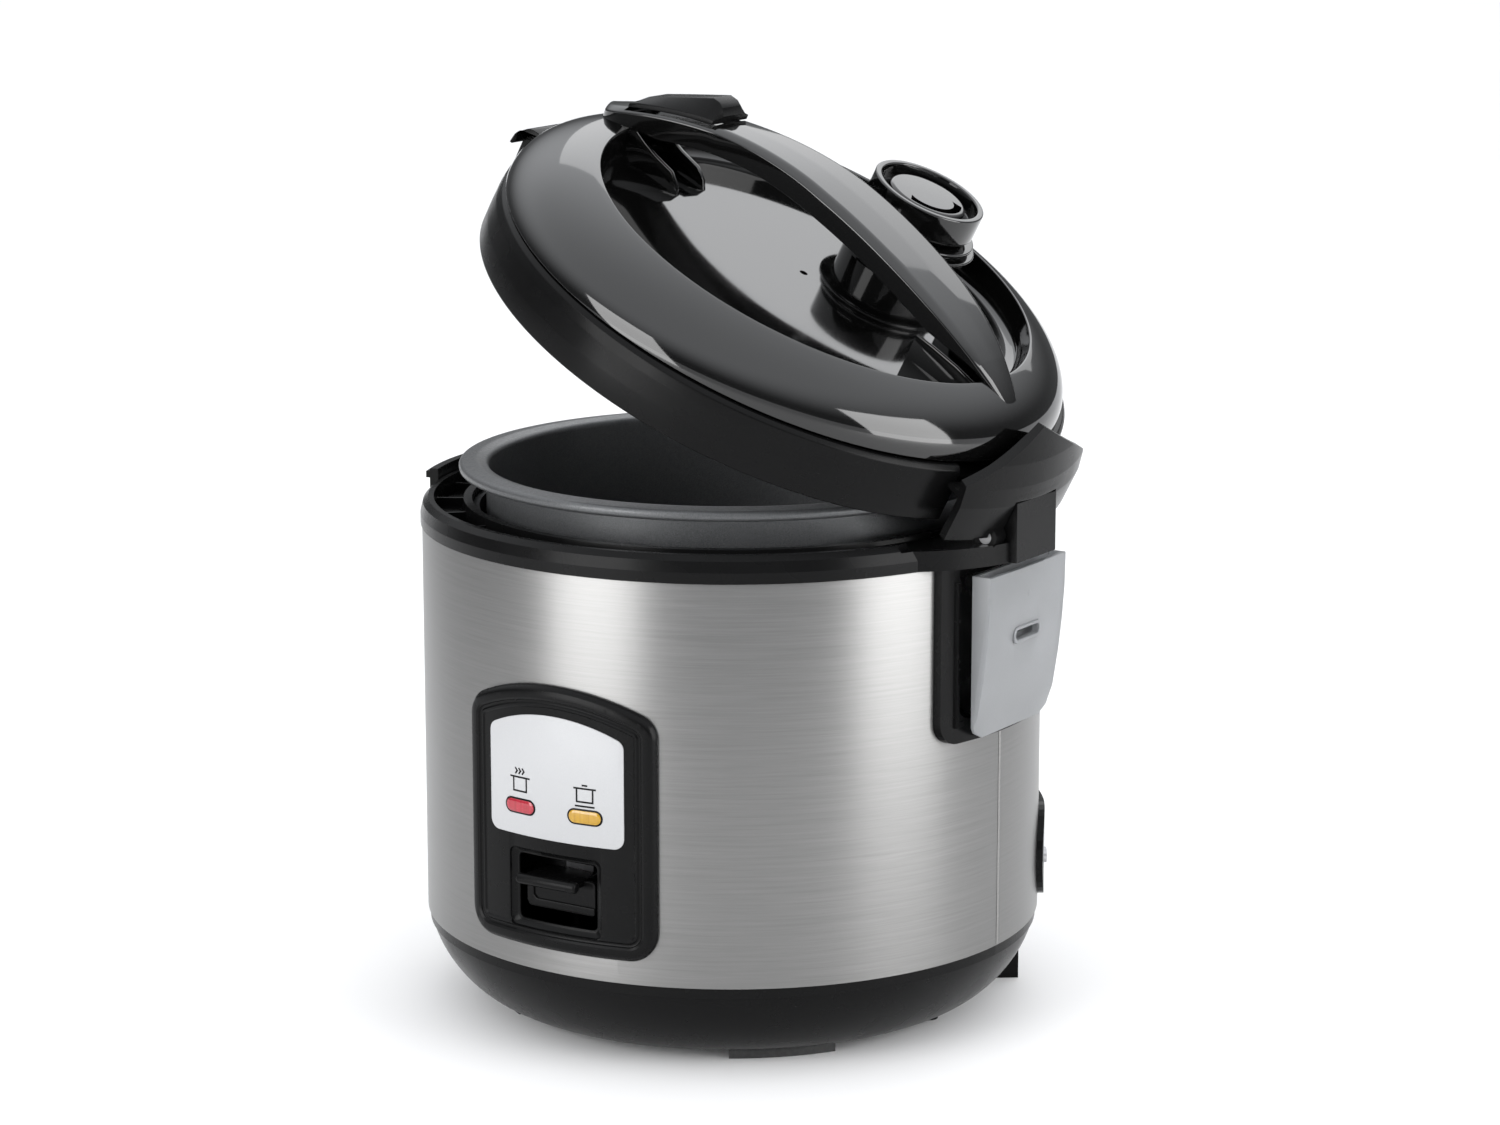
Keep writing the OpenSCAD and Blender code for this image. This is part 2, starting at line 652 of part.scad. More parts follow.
// floor of the pocket under the release button
function pocket_z(x) = 243.5 + 0.346 * (x + 84.3);

button_x0 = -88;
button_x1 = -49;
button_half = 12;
button_travel = 2.5;

module lid_handle() opened() color("#121213") difference() {
    intersection() {
        side_plate(-20, 20) polygon(concat([[-101.2, 226], [-101.2, 240.5]],
            [for (x = [-100:6:104]) [x, handle_top(x)]], [[105, 226]]));
        translate([0, 0, 215]) linear_extrude(60) polygon(concat(
            arc(-87.7, 0, 13.5, 90, 270, 12), [for (x = [-50:11:93]) [x, -handle_half(x)]],
            [[100, -4.3], [105, 0], [100, 4.3]], [for (x = [93:-11:-50]) [x, handle_half(x)]]));
    }
    // the gap for the fingers
    side_plate(-21, 21) polygon(concat([[-78, 200]], [for (x = [-78:6:84]) [x, handle_low(x)]],
        [[86, handle_low(86)], [86, 200]]));
    under_cap(dome_r + eps, dome_rise + eps, 200);
    // pocket of the release button
    side_plate(-button_half - gap, button_half + gap) polygon(concat(
        [for (x = [button_x0 - gap, -75, -62, button_x1 + gap])
            [x, handle_top(x) - button_travel - 2 * gap]],
        [[button_x1 + gap, 290], [button_x0 - gap, 290]]));
    side_plate(-8.3, 8.3)
        polygon([[-84.3, pocket_z(-84.3)], [-58, pocket_z(-58)], [-58, 275], [-84.3, 275]]);
    translate([spring_x, 0, 246.6]) cylinder(r = 4.4, h = 10);
    block(-87.4, -82.6, -3.4, 3.4, 200, 260);
}

module release_button() opened() color("#26272a") difference() {
    union() {
        side_plate(-button_half, button_half) polygon(concat(
            [for (x = [button_x0, -75, -62, button_x1]) [x, handle_top(x) - 0.1]],
            [for (x = [button_x1, -62, -75, button_x0]) [x, handle_top(x) + 2]]));
        // flat crown
        side_plate(-6, 6) polygon(concat([[-88, 251.3], [-84.5, 255], [-59.5, 269.6], [-54.3, 267.6],
            [-50.8, 265.2], [-49, 264.3]],
            [for (x = [button_x1, -62, -75, button_x0]) [x, handle_top(x) + 0.5]]));
        side_plate(-8, 8) polygon([[-84, pocket_z(-84) + 3], [-58.3, pocket_z(-58.3) + 3],
            [-58.3, 260.5], [-84, 251]]);
        block(-87, -83, -3, 3, 217.4, 250.5);
    }
    translate([spring_x, 0, 240]) cylinder(r = 4.6, h = 11.3);
}

module button_spring() opened() color("#9a9a9a") translate([spring_x, 0, 0])
    coil(3.6, 0.25, 1.5, 246.95, 248.35, 20, 6);

module latch_hook() opened() color("#2b2c2f") difference() {
    union() {
        y_bar(latch_x, latch_z, 3.4, -7, 7);
        side_plate(-7, 7) polygon([[latch_x - 2, latch_z + 3], [latch_x + 2, latch_z + 3.3],
            [-81.5, latch_z + 3.3],
            [-81.5, latch_z + 1.7], [latch_x + 4, latch_z + 1.7], [latch_x, latch_z - 1]]);
        side_plate(-7, 7) polygon([[latch_x, latch_z + 3.3], [-124, 212], [-126.6, 210], [-126.6, 191],
            [-121.4, 191], [-121.4, 193], [-123.6, 195.6], [-123.6, 208.6], [latch_x, latch_z - 3.3]]);
    }
    y_bar(latch_x, latch_z, 1.55, -10, 10);
}

module latch_pin() opened() color("#c8c8c8") y_bar(latch_x, latch_z, 1.5, -10.5, 10.5);

module latch_spring() opened() color("#9a9a9a")
    translate([latch_x, 8.8, latch_z]) rotate([90, 0, 0]) coil(2.4, 0.25, 2.5, -0.9, 0.9, 20, 6);

module inner_lid_frame() opened() color("#1c1c1e") difference() {
    union() {
        tube(111.9, 97, 212.5, 214.5);
        tube(106.8, 104.9, 207, 213);
    }
    block(-130, -90, -10.6, 10.6, 200, 220);
    block(knuckle_x0 - 8, 130, -15, 15, 200, 212);
}

module inner_lid_plate() opened() color("#c9cacc") difference() {
    rotate_extrude() polygon([[0, 208.4], [60, 208.4], [88, 210.6], [92, 211.6], [104, 211.6], [104, 212.4],
        [91.6, 212.4], [87.6, 211.4], [60, 209.2], [0, 209.2]]);
    for (a = [0:60:300]) translate([vent_x + 8 * cos(a), vent_y + 8 * sin(a), 200]) cylinder(r = 2, h = 20);
}

module lid_seal() opened() color("#d8d8d4") rotate_extrude()
    polygon([[96, 210.4], [100, 210.4], [101.5, 211.55], [94.5, 211.55]]);

module vent_seal() opened() color("#d8d8d4") translate([vent_x, vent_y, 0]) tube(13.8, 11.5, 211, 216.8);

module vent_cap() opened() color("#141415") translate([vent_x, vent_y, 0]) difference() {
    union() {
        // plug with its seal rings
        disc(13.6, 218, 249.5);
        for (z = [222, 226, 236]) disc(14.2, z, z + 1.6);
        // cup
        translate([0, 0, 248.8]) cylinder(r1 = 20, r2 = 22.4, h = 2.3);
        disc(22.4, 251, 262);
    }
    // steam way
    disc(10.5, 217, 257.2);
    // hollow around the inner disc, open to the steam way on one side
    tube(19.9, 15.7, 255, 263);
    disc(16.2, 260.4, 263);
    intersection() {
        tube(16.2, 7.6, 252, 263);
        wedge(60, 28, 40, 240, 270);
    }
}

base_pan();
foot_pads();
rear_foot();
outer_shell();
top_ring();
hinge_pin();
hinge_springs();
inner_chamber();
keep_warm_band();
heating_plate();
heating_element();
plate_legs();
base_screws();
thermostat_bracket();
sensor_cup();
ferrite_disc();
sensor_spring();
magnet_rod();
rod_magnet();
rocker_bracket();
rocker_pin();
rocker_arm();
cook_lever();
microswitch();
thermal_fuse();
terminal_block();
panel_frame();
panel_label();
lens_red();
lens_amber();
indicator_lamps();
lamp_holder();
inlet_socket();
inlet_pins();
inlet_screws();
collector_bracket();
collector_cup();
inner_pot();
lid_skirt();
lid_apron();
lid_dome();
lid_handle();
release_button();
button_spring();
latch_hook();
latch_pin();
latch_spring();
inner_lid_frame();
inner_lid_plate();
lid_seal();
vent_seal();
vent_cap();
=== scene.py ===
"""Looks of a rice cooker with its lid standing open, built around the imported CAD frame.

All sizes below are in millimetres in the frame's own axes and are turned into metres when a mesh
is made. Pieces of the lid are drawn shut and then swung open about the lid's hinge.
"""
import json
import math

import bmesh
import bpy
from mathutils import Matrix, Vector


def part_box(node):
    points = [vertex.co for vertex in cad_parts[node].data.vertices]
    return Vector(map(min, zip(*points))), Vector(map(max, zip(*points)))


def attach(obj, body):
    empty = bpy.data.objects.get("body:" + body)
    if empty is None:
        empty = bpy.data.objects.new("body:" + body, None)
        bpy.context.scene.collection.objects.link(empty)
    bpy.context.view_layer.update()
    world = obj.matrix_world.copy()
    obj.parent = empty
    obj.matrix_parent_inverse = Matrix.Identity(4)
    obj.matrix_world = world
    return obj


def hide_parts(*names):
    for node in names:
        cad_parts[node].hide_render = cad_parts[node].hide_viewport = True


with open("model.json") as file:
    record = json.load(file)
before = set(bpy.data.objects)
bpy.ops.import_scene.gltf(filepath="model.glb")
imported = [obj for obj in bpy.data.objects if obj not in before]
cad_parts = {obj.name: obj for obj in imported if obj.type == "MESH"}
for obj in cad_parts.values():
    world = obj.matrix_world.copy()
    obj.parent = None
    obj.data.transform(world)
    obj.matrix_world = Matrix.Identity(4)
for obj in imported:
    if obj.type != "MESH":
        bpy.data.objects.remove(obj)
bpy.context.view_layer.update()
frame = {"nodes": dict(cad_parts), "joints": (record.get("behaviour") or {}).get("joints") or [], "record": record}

MM = 0.001
scene = bpy.context.scene

# ---------------------------------------------------------------- driving sizes, from the frame


def joint(name):
    return next(j for j in frame["joints"] if j["name"] == name)


def node_box(node):
    low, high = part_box(node)
    return low / MM, high / MM


HINGE = Vector(joint("lid_hinge")["pos_m"]) / MM
LID_OPEN = -joint("lid_hinge")["range_deg"][0]
LID_TURN = (Matrix.Translation(HINGE) @ Matrix.Rotation(math.radians(LID_OPEN), 4, "Y")
            @ Matrix.Translation(-HINGE))

SHELL_LOW = node_box("outer_shell")[0].z
SHELL_HIGH = node_box("outer_shell")[1].z
SHELL_R = -node_box("outer_shell")[0].x
POT_TOP = node_box("inner_pot")[1].z
FLANGE_R = node_box("inner_pot")[1].y
POT_R = FLANGE_R - 10.5
PLATE_Z = node_box("inner_pot")[0].z
DOME_R = node_box("lid_dome")[1].y
DOME_X = -1.5
DOME_EDGE_Z = 220.0
DOME_RISE = 27.0
RECESS_X = 3.0
RECESS_R = 87.0
RECESS_FLOOR = 230.0
VENT_X = 7.4
VENT_Y = 59.2
WINDOW_Z = 67.0
LEVER_Z = 71.0
LENS_Z = 97.8
LENS_X = 14.0

# ---------------------------------------------------------------- mesh helpers


def arc(cx, cy, r, start, end, steps=8):
    points = []
    for i in range(steps + 1):
        a = math.radians(start + (end - start) * i / steps)
        points.append((cx + r * math.cos(a), cy + r * math.sin(a)))
    return points


def filleted(points, radii, steps=5, closed=True):
    """An outline with each corner rounded by its own radius."""
    n = len(points)
    if not hasattr(radii, "__len__"):
        radii = [radii] * n
    result = []
    for i, (point, radius) in enumerate(zip(points, radii)):
        if radius <= 0 or (not closed and i in (0, n - 1)):
            result.append(tuple(point))
            continue
        p = Vector(point)
        a = Vector(points[i - 1]) - p
        b = Vector(points[(i + 1) % n]) - p
        half = a.angle(b) / 2
        reach = min(radius / math.tan(half), 0.48 * a.length, 0.48 * b.length)
        r = reach * math.tan(half)
        centre = p + (a.normalized() + b.normalized()).normalized() * (r / math.sin(half))
        start = p + a.normalized() * reach - centre
        end = p + b.normalized() * reach - centre
        for k in range(steps + 1):
            t = k / steps
            turn = start.angle(end)
            w0 = math.sin((1 - t) * turn) / math.sin(turn)
            w1 = math.sin(t * turn) / math.sin(turn)
            result.append(tuple(centre + start * w0 + end * w1))
    return result


def make(name, verts, faces, lid=False):
    """A mesh object from millimetre points, with its normals turned outwards."""
    data = bpy.data.meshes.new(name)
    turn = LID_TURN if lid else Matrix.Identity(4)
    data.from_pydata([(turn @ Vector(v)) * MM for v in verts], [], faces)
    obj = bpy.data.objects.new(name, data)
    scene.collection.objects.link(obj)
    tidy(obj)
    return obj


def tidy(obj):
    bm = bmesh.new()
    bm.from_mesh(obj.data)
    bmesh.ops.remove_doubles(bm, verts=bm.verts, dist=1e-6)
    bmesh.ops.recalc_face_normals(bm, faces=bm.faces)
    bm.to_mesh(obj.data)
    bm.free()


def smooth(obj, angle=35):
    """Smooth shading with creases where faces meet at more than angle degrees."""
    for polygon in obj.data.polygons:
        polygon.use_smooth = True
    bm = bmesh.new()
    bm.from_mesh(obj.data)
    limit = math.radians(angle)
    for edge in bm.edges:
        edge.smooth = not (len(edge.link_faces) == 2 and edge.calc_face_angle(0) > limit)
    bm.to_mesh(obj.data)
    bm.free()
    return obj


def apply_modifiers(obj):
    depsgraph = bpy.context.evaluated_depsgraph_get()
    data = bpy.data.meshes.new_from_object(obj.evaluated_get(depsgraph))
    obj.modifiers.clear()
    obj.data = data
    return obj


def bevel(obj, width, segments=3, angle=32):
    modifier = obj.modifiers.new("bevel", "BEVEL")
    modifier.width = width * MM
    modifier.segments = segments
    modifier.limit_method = "ANGLE"
    modifier.angle_limit = math.radians(angle)
    modifier.use_clamp_overlap = True
    return apply_modifiers(obj)


def cut(obj, cutter):
    """Takes the cutter away from the piece and deletes the cutter."""
    modifier = obj.modifiers.new("cut", "BOOLEAN")
    modifier.operation = "DIFFERENCE"
    modifier.object = cutter
    modifier.solver = "EXACT"
    apply_modifiers(obj)
    bpy.data.objects.remove(cutter)
    return obj


def lathe(name, outline, centre=(0, 0), steps=192, start=0.0, end=360.0, lid=False):
    """Turns a closed (r, z) outline about an upright axis; azimuths run from the front."""
    full = abs(end - start - 360) < 1e-6
    count = steps if full else steps + 1
    n = len(outline)
    verts = []
    for i in range(count):
        a = math.radians(start + (end - start) * i / steps)
        verts += [(centre[0] + r * math.sin(a), centre[1] - r * math.cos(a), z) for r, z in outline]
    faces = []
    for i in range(steps):
        j = (i + 1) % count
        for k in range(n):
            m = (k + 1) % n
            faces.append((i * n + k, j * n + k, j * n + m, i * n + m))
    if not full:
        faces.append(tuple(range(n)))
        faces.append(tuple(range(steps * n + n - 1, steps * n - 1, -1)))
    return make(name, verts, faces, lid)


def prism(name, outline, low, high, axis="y", lid=False):
    """Extrudes a 2D outline between two heights along an axis."""
    place = {"x": lambda u, v, w: (w, u, v),
             "y": lambda u, v, w: (u, w, v),
             "z": lambda u, v, w: (u, v, w)}[axis]
    n = len(outline)
    verts = [place(u, v, low) for u, v in outline] + [place(u, v, high) for u, v in outline]
    faces = [tuple(range(n)), tuple(range(2 * n - 1, n - 1, -1))]
    faces += [(k, (k + 1) % n, n + (k + 1) % n, n + k) for k in range(n)]
    return make(name, verts, faces, lid)


def box(name, x0, x1, y0, y1, z0, z1, lid=False):
    return prism(name, [(x0, y0), (x1, y0), (x1, y1), (x0, y1)], z0, z1, "z", lid)


def round_rect(half_w, half_h, r, cx=0.0, cy=0.0, steps=6):
    points = []
    for sx, sy, start in ((1, 1, 0), (-1, 1, 90), (-1, -1, 180), (1, -1, 270)):
        points += arc(cx + sx * (half_w - r), cy + sy * (half_h - r), r, start, start + 90, steps)
    return points


def arched(half, low, side, mid, r_top, r_low, grow=0.0):
    """A tall plate's outline with round corners and an arched top, grown outwards by grow."""
    rise = mid - side
    arch_r = (half * half + rise * rise) / (2 * rise)
    arch_y = mid - arch_r
    corner_x = half - r_top
    corner_y = arch_y + math.sqrt((arch_r - r_top) ** 2 - corner_x ** 2)
    turn = math.degrees(math.atan2(corner_y - arch_y, corner_x))
    top, base = r_top + grow, r_low + grow
    return (arc(half - r_low, low + r_low, base, -90, 0) + arc(corner_x, corner_y, top, 0, turn)
            + arc(0, arch_y, arch_r + grow, turn, 180 - turn, 24)[1:-1]
            + arc(-corner_x, corner_y, top, 180 - turn, 180)
            + arc(-(half - r_low), low + r_low, base, 180, 270))


def stepped_plate(name, levels):
    """Stacks outlines of equal length at their heights, with the last one closed: (outline, height)."""
    n = len(levels[0][0])
    verts = []
    for outline, height in levels:
        verts += [(x, -height, z) for x, z in outline]
    faces = [tuple(range(n - 1, -1, -1))]
    for level in range(len(levels) - 1):
        for k in range(n):
            m = (k + 1) % n
            faces.append((level * n + k, level * n + m, (level + 1) * n + m, (level + 1) * n + k))
    last = (len(levels) - 1) * n
    faces.append(tuple(range(last, last + n)))
    return make(name, verts, faces)


def wrap(obj, radius, azimuth=0.0, step=2.0):
    """Bends a piece drawn flat at y = -height onto the body's cylinder at an azimuth."""
    bm = bmesh.new()
    bm.from_mesh(obj.data)
    low = min(v.co.x for v in bm.verts)
    high = max(v.co.x for v in bm.verts)
    x = low + step * MM
    while x < high - 0.2 * step * MM:
        bmesh.ops.bisect_plane(bm, geom=bm.verts[:] + bm.edges[:] + bm.faces[:], dist=1e-7,
                               plane_co=(x, 0, 0), plane_no=(1, 0, 0))
        x += step * MM
    for v in bm.verts:
        a = math.radians(azimuth) + v.co.x / (radius * MM)
        r = radius * MM - v.co.y
        v.co = Vector((r * math.sin(a), -r * math.cos(a), v.co.z))
    bm.to_mesh(obj.data)
    bm.free()
    return obj


def loft(name, rings, lid=False):
    """Skins rings of equally many points and closes both ends."""
    n = len(rings[0])
    verts = [p for ring in rings for p in ring]
    faces = [tuple(range(n - 1, -1, -1)), tuple(range((len(rings) - 1) * n, len(rings) * n))]
    for i in range(len(rings) - 1):
        for k in range(n):
            m = (k + 1) % n
            faces.append((i * n + k, i * n + m, (i + 1) * n + m, (i + 1) * n + k))
    return make(name, verts, faces, lid)


def finish_piece(obj, material, body, slot, *nodes):
    obj.data.materials.clear()
    obj.data.materials.append(material)
    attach(obj, body)
    if nodes:
        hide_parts(*nodes)
    return obj


# ---------------------------------------------------------------- materials


class Nodes:
    """Short names for building one material's node tree."""

    def __init__(self, name, **sockets):
        self.material = bpy.data.materials.new(name)
        self.material.use_nodes = True
        self.tree = self.material.node_tree
        self.shader = self.tree.nodes["Principled BSDF"]
        for key, value in sockets.items():
            self.shader.inputs[key.replace("_", " ")].default_value = value
        self.place = self.add("ShaderNodeTexCoord").outputs["Object"]

    def add(self, kind, **settings):
        node = self.tree.nodes.new(kind)
        for key, value in settings.items():
            setattr(node, key, value)
        return node

    def link(self, output, socket):
        self.tree.links.new(output, socket)

    def noise(self, scale, detail=3.0, rough=0.5, vector=None):
        node = self.add("ShaderNodeTexNoise")
        node.inputs["Scale"].default_value = scale
        node.inputs["Detail"].default_value = detail
        node.inputs["Roughness"].default_value = rough
        self.link(vector or self.place, node.inputs["Vector"])
        return node.outputs["Fac"]

    def stretched(self, x, y, z):
        node = self.add("ShaderNodeMapping")
        node.inputs["Scale"].default_value = (x, y, z)
        self.link(self.place, node.inputs["Vector"])
        return node.outputs["Vector"]

    def math(self, operation, a, b=0.0):
        node = self.add("ShaderNodeMath", operation=operation)
        for socket, value in zip(node.inputs, (a, b)):
            if isinstance(value, (int, float)):
                socket.default_value = value
            else:
                self.link(value, socket)
        return node.outputs[0]

    def around(self, turns_scale, height_scale):
        """Coordinates that run round the body's axis and up it, for brushing."""
        split = self.add("ShaderNodeSeparateXYZ")
        self.link(self.place, split.inputs[0])
        angle = self.math("ARCTAN2", split.outputs["Y"], split.outputs["X"])
        joined = self.add("ShaderNodeCombineXYZ")
        self.link(self.math("MULTIPLY", angle, turns_scale), joined.inputs["X"])
        self.link(self.math("MULTIPLY", split.outputs["Z"], height_scale), joined.inputs["Y"])
        return joined.outputs[0]

    def radial(self, scale):
        """Distance from the body's axis, scaled, for turning marks."""
        length = self.add("ShaderNodeVectorMath", operation="LENGTH")
        flat = self.stretched(1, 1, 0)
        self.link(flat, length.inputs[0])
        joined = self.add("ShaderNodeCombineXYZ")
        self.link(self.math("MULTIPLY", length.outputs["Value"], scale), joined.inputs["X"])
        return joined.outputs[0]

    def ramp(self, value, stops):
        node = self.add("ShaderNodeValToRGB")
        while len(node.color_ramp.elements) < len(stops):
            node.color_ramp.elements.new(0.5)
        for element, (position, colour) in zip(node.color_ramp.elements, stops):
            element.position = position
            element.color = (*colour, 1.0)
        self.link(value, node.inputs["Fac"])
        return node.outputs["Color"]

    def spread(self, value, low, high, from_low=0.0, from_high=1.0):
        node = self.add("ShaderNodeMapRange")
        limits = {"From Min": from_low, "From Max": from_high, "To Min": low, "To Max": high}
        for key, number in limits.items():
            node.inputs[key].default_value = number
        self.link(value, node.inputs["Value"])
        return node.outputs["Result"]

    def colour(self, value, low, high):
        self.link(self.ramp(value, [(0.3, low), (0.7, high)]), self.shader.inputs["Base Color"])

    def roughness(self, value, low, high):
        self.link(self.spread(value, low, high, 0.3, 0.7), self.shader.inputs["Roughness"])

    def bump(self, value, distance, strength=1.0):
        node = self.add("ShaderNodeBump")
        node.inputs["Strength"].default_value = strength
        node.inputs["Distance"].default_value = distance
        self.link(value, node.inputs["Height"])
        self.link(node.outputs["Normal"], self.shader.inputs["Normal"])


def moulded(name, tone, rough_low, rough_high, grain=2600.0, depth=0.00002, tint=(1.0, 1.0, 1.03)):
    """Moulded satin plastic: fine spark-eroded grain and a slow change of gloss."""
    m = Nodes(name, Specular_IOR_Level=0.1)
    slow = m.noise(22, 2)
    m.colour(slow, tuple(tone * 0.85 * t for t in tint), tuple(tone * 1.2 * t for t in tint))
    m.roughness(m.noise(60, 4), rough_low, rough_high)
    m.bump(m.noise(grain, 2), depth, 0.5)
    return m.material


def gloss(name, tone):
    """Piano-black plastic: mirror gloss with a trace of polish haze and orange peel."""
    m = Nodes(name, IOR=1.5, Coat_Weight=0.25, Coat_Roughness=0.03)
    m.colour(m.noise(14, 2), (tone * 0.8,) * 3, (tone * 1.25,) * 3)
    m.roughness(m.noise(35, 5, 0.6), 0.045, 0.085)
    m.bump(m.noise(90, 1), 0.00003, 0.12)
    return m.material


def brushed_steel():
    """Stainless sheet brushed round the body."""
    m = Nodes("brushed_steel", Metallic=1.0, Anisotropic=0.7, Anisotropic_Rotation=0.25)
    lines = m.noise(1.0, 6, 0.75, m.around(5.0, 5200.0))
    broad = m.noise(1.0, 3, 0.6, m.around(2.2, 900.0))
    both = m.math("ADD", m.math("MULTIPLY", lines, 0.6), m.math("MULTIPLY", broad, 0.4))
    m.colour(both, (0.19, 0.189, 0.186), (0.27, 0.268, 0.264))
    m.roughness(both, 0.34, 0.46)
    m.bump(lines, 0.00003, 0.35)
    return m.material


def coated(name, low, high, rough_low, rough_high, metallic, speck):
    """Non-stick coating with a fine metallic speckle."""
    m = Nodes(name, Metallic=metallic)
    m.colour(m.noise(speck, 2, 0.9), low, high)
    m.roughness(m.noise(900, 3), rough_low, rough_high)
    m.bump(m.noise(3200, 2), 0.00003, 0.4)
    return m.material


def turned_metal(name, low, high, rough_low, rough_high):
    """Metal with concentric turning marks about the body's axis."""
    m = Nodes(name, Metallic=1.0)
    rings = m.noise(1.0, 4, 0.7, m.radial(2600.0))
    m.colour(rings, low, high)
    m.roughness(m.noise(160, 4), rough_low, rough_high)
    m.bump(rings, 0.00004, 0.4)
    return m.material


def plain_metal(name, low, high, rough_low, rough_high):
    m = Nodes(name, Metallic=1.0)
    m.colour(m.noise(120, 5, 0.65), low, high)
    m.roughness(m.noise(500, 3), rough_low, rough_high)
    m.bump(m.noise(1800, 2), 0.00002, 0.3)
    return m.material


def printed_plate():
    """Silver-white satin lacquer with a fine sparkle, for the label plate."""
    m = Nodes("label_silver", Metallic=0.0, Coat_Weight=0.05, Coat_Roughness=0.2)
    m.colour(m.noise(4200, 2), (0.35, 0.354, 0.362), (0.39, 0.393, 0.40))
    m.roughness(m.noise(70, 3), 0.42, 0.5)
    m.bump(m.noise(3000, 1), 0.00001, 0.3)
    return m.material


def clear_colour(name, low, high, glow):
    """Coloured lens: fluted inside, so its colour shifts in fine bars."""
    m = Nodes(name, Coat_Weight=0.5, Coat_Roughness=0.08, Transmission_Weight=0.15)
    bars = m.noise(1.0, 1, 0.5, m.stretched(900, 40, 40))
    m.colour(bars, low, high)
    m.roughness(m.noise(300, 2), 0.12, 0.2)
    m.shader.inputs["Emission Color"].default_value = (*glow, 1.0)
    m.shader.inputs["Emission Strength"].default_value = 0.03
    return m.material


def frosted():
    """Milky translucent plastic with a fine frost."""
    m = Nodes("frosted", Transmission_Weight=0.6, IOR=1.46)
    m.colour(m.noise(25, 2), (0.34, 0.35, 0.36), (0.41, 0.42, 0.435))
    m.roughness(m.noise(1400, 3), 0.34, 0.46)
    m.bump(m.noise(2600, 2), 0.00003, 0.4)
    return m.material


def matt(name, low, high, rough_low=0.55, rough_high=0.75, scale=700.0):
    m = Nodes(name)
    m.colour(m.noise(scale, 4), low, high)
    m.roughness(m.noise(90, 3), rough_low, rough_high)
    m.bump(m.noise(scale * 2, 3), 0.00004, 0.5)
    return m.material


def grey(value):
    return (value, value, value)


MATERIALS = {
    "satin_black": moulded("satin_black", 0.003, 0.22, 0.31),
    "gloss_black": gloss("gloss_black", 0.0025),
    "brushed_steel": brushed_steel(),
    "pot_coating": coated("pot_coating", (0.012, 0.012, 0.013), (0.16, 0.165, 0.17),
                          0.30, 0.44, 0.5, 5200.0),
    "cast_aluminium": turned_metal("cast_aluminium", (0.52, 0.53, 0.54), (0.72, 0.73, 0.74), 0.3, 0.45),
    "sheet_aluminium": plain_metal("sheet_aluminium", (0.44, 0.445, 0.45), (0.52, 0.525, 0.53), 0.3, 0.4),
    # dull_sheet is near black; on the parts behind the lever window it stands as painted shade.
    "dull_sheet": plain_metal("dull_sheet", (0.05, 0.05, 0.052), (0.09, 0.09, 0.093), 0.5, 0.65),
    "plain_steel": plain_metal("plain_steel", (0.42, 0.42, 0.43), (0.6, 0.6, 0.61), 0.3, 0.45),
    # bright_steel and spring_wire are kept far darker than real steel: painted shade that puts out the glint of
    # the hinge pin and spring.
    "bright_steel": plain_metal("bright_steel", (0.16, 0.16, 0.165), (0.23, 0.23, 0.235), 0.3, 0.4),
    "spring_wire": plain_metal("spring_wire", (0.06, 0.06, 0.062), (0.11, 0.11, 0.112), 0.3, 0.42),
    "nickel": plain_metal("nickel", (0.6, 0.58, 0.54), (0.74, 0.72, 0.68), 0.16, 0.26),
    "ferrite": matt("ferrite", grey(0.04), grey(0.09), 0.5, 0.7),
    "mica_band": matt("mica_band", (0.3, 0.17, 0.06), (0.5, 0.34, 0.15), 0.4, 0.6, 300.0),
    "ceramic": matt("ceramic", (0.72, 0.69, 0.62), (0.85, 0.82, 0.76), 0.6, 0.8),
    "label_silver": printed_plate(),
    "lens_red": clear_colour("lens_red", (0.28, 0.007, 0.018), (0.38, 0.013, 0.032), (0.7, 0.03, 0.06)),
    "lens_amber": clear_colour("lens_amber", (0.34, 0.18, 0.002), (0.44, 0.25, 0.005), (0.8, 0.4, 0.02)),
    "lamp_glass": clear_colour("lamp_glass", (0.7, 0.5, 0.35), (0.85, 0.68, 0.5), (0.8, 0.5, 0.3)),
    "white_plastic": matt("white_plastic", grey(0.72), grey(0.82), 0.4, 0.5),
    "frosted": frosted(),
    "silicone": matt("silicone", (0.62, 0.63, 0.62), (0.74, 0.75, 0.74), 0.35, 0.5, 250.0),
    "rubber_foot": matt("rubber_foot", grey(0.014), grey(0.028), 0.55, 0.75),
}
SLOT_OF = {s["node"]: s["material_slot"] for s in frame["record"]["subparts"]}
# The parts seen through the lever window get the near-black dull_sheet look in place of their own material:
# painted shade for the dark inside of the body.
SHADED_BEHIND_WINDOW = ("inner_chamber", "rocker_arm", "rocker_bracket")

for node_name, node in frame["nodes"].items():
    look = "dull_sheet" if node_name in SHADED_BEHIND_WINDOW else SLOT_OF[node_name]
    node.data.materials.clear()
    node.data.materials.append(MATERIALS[look])

# ---------------------------------------------------------------- base, shell and ring


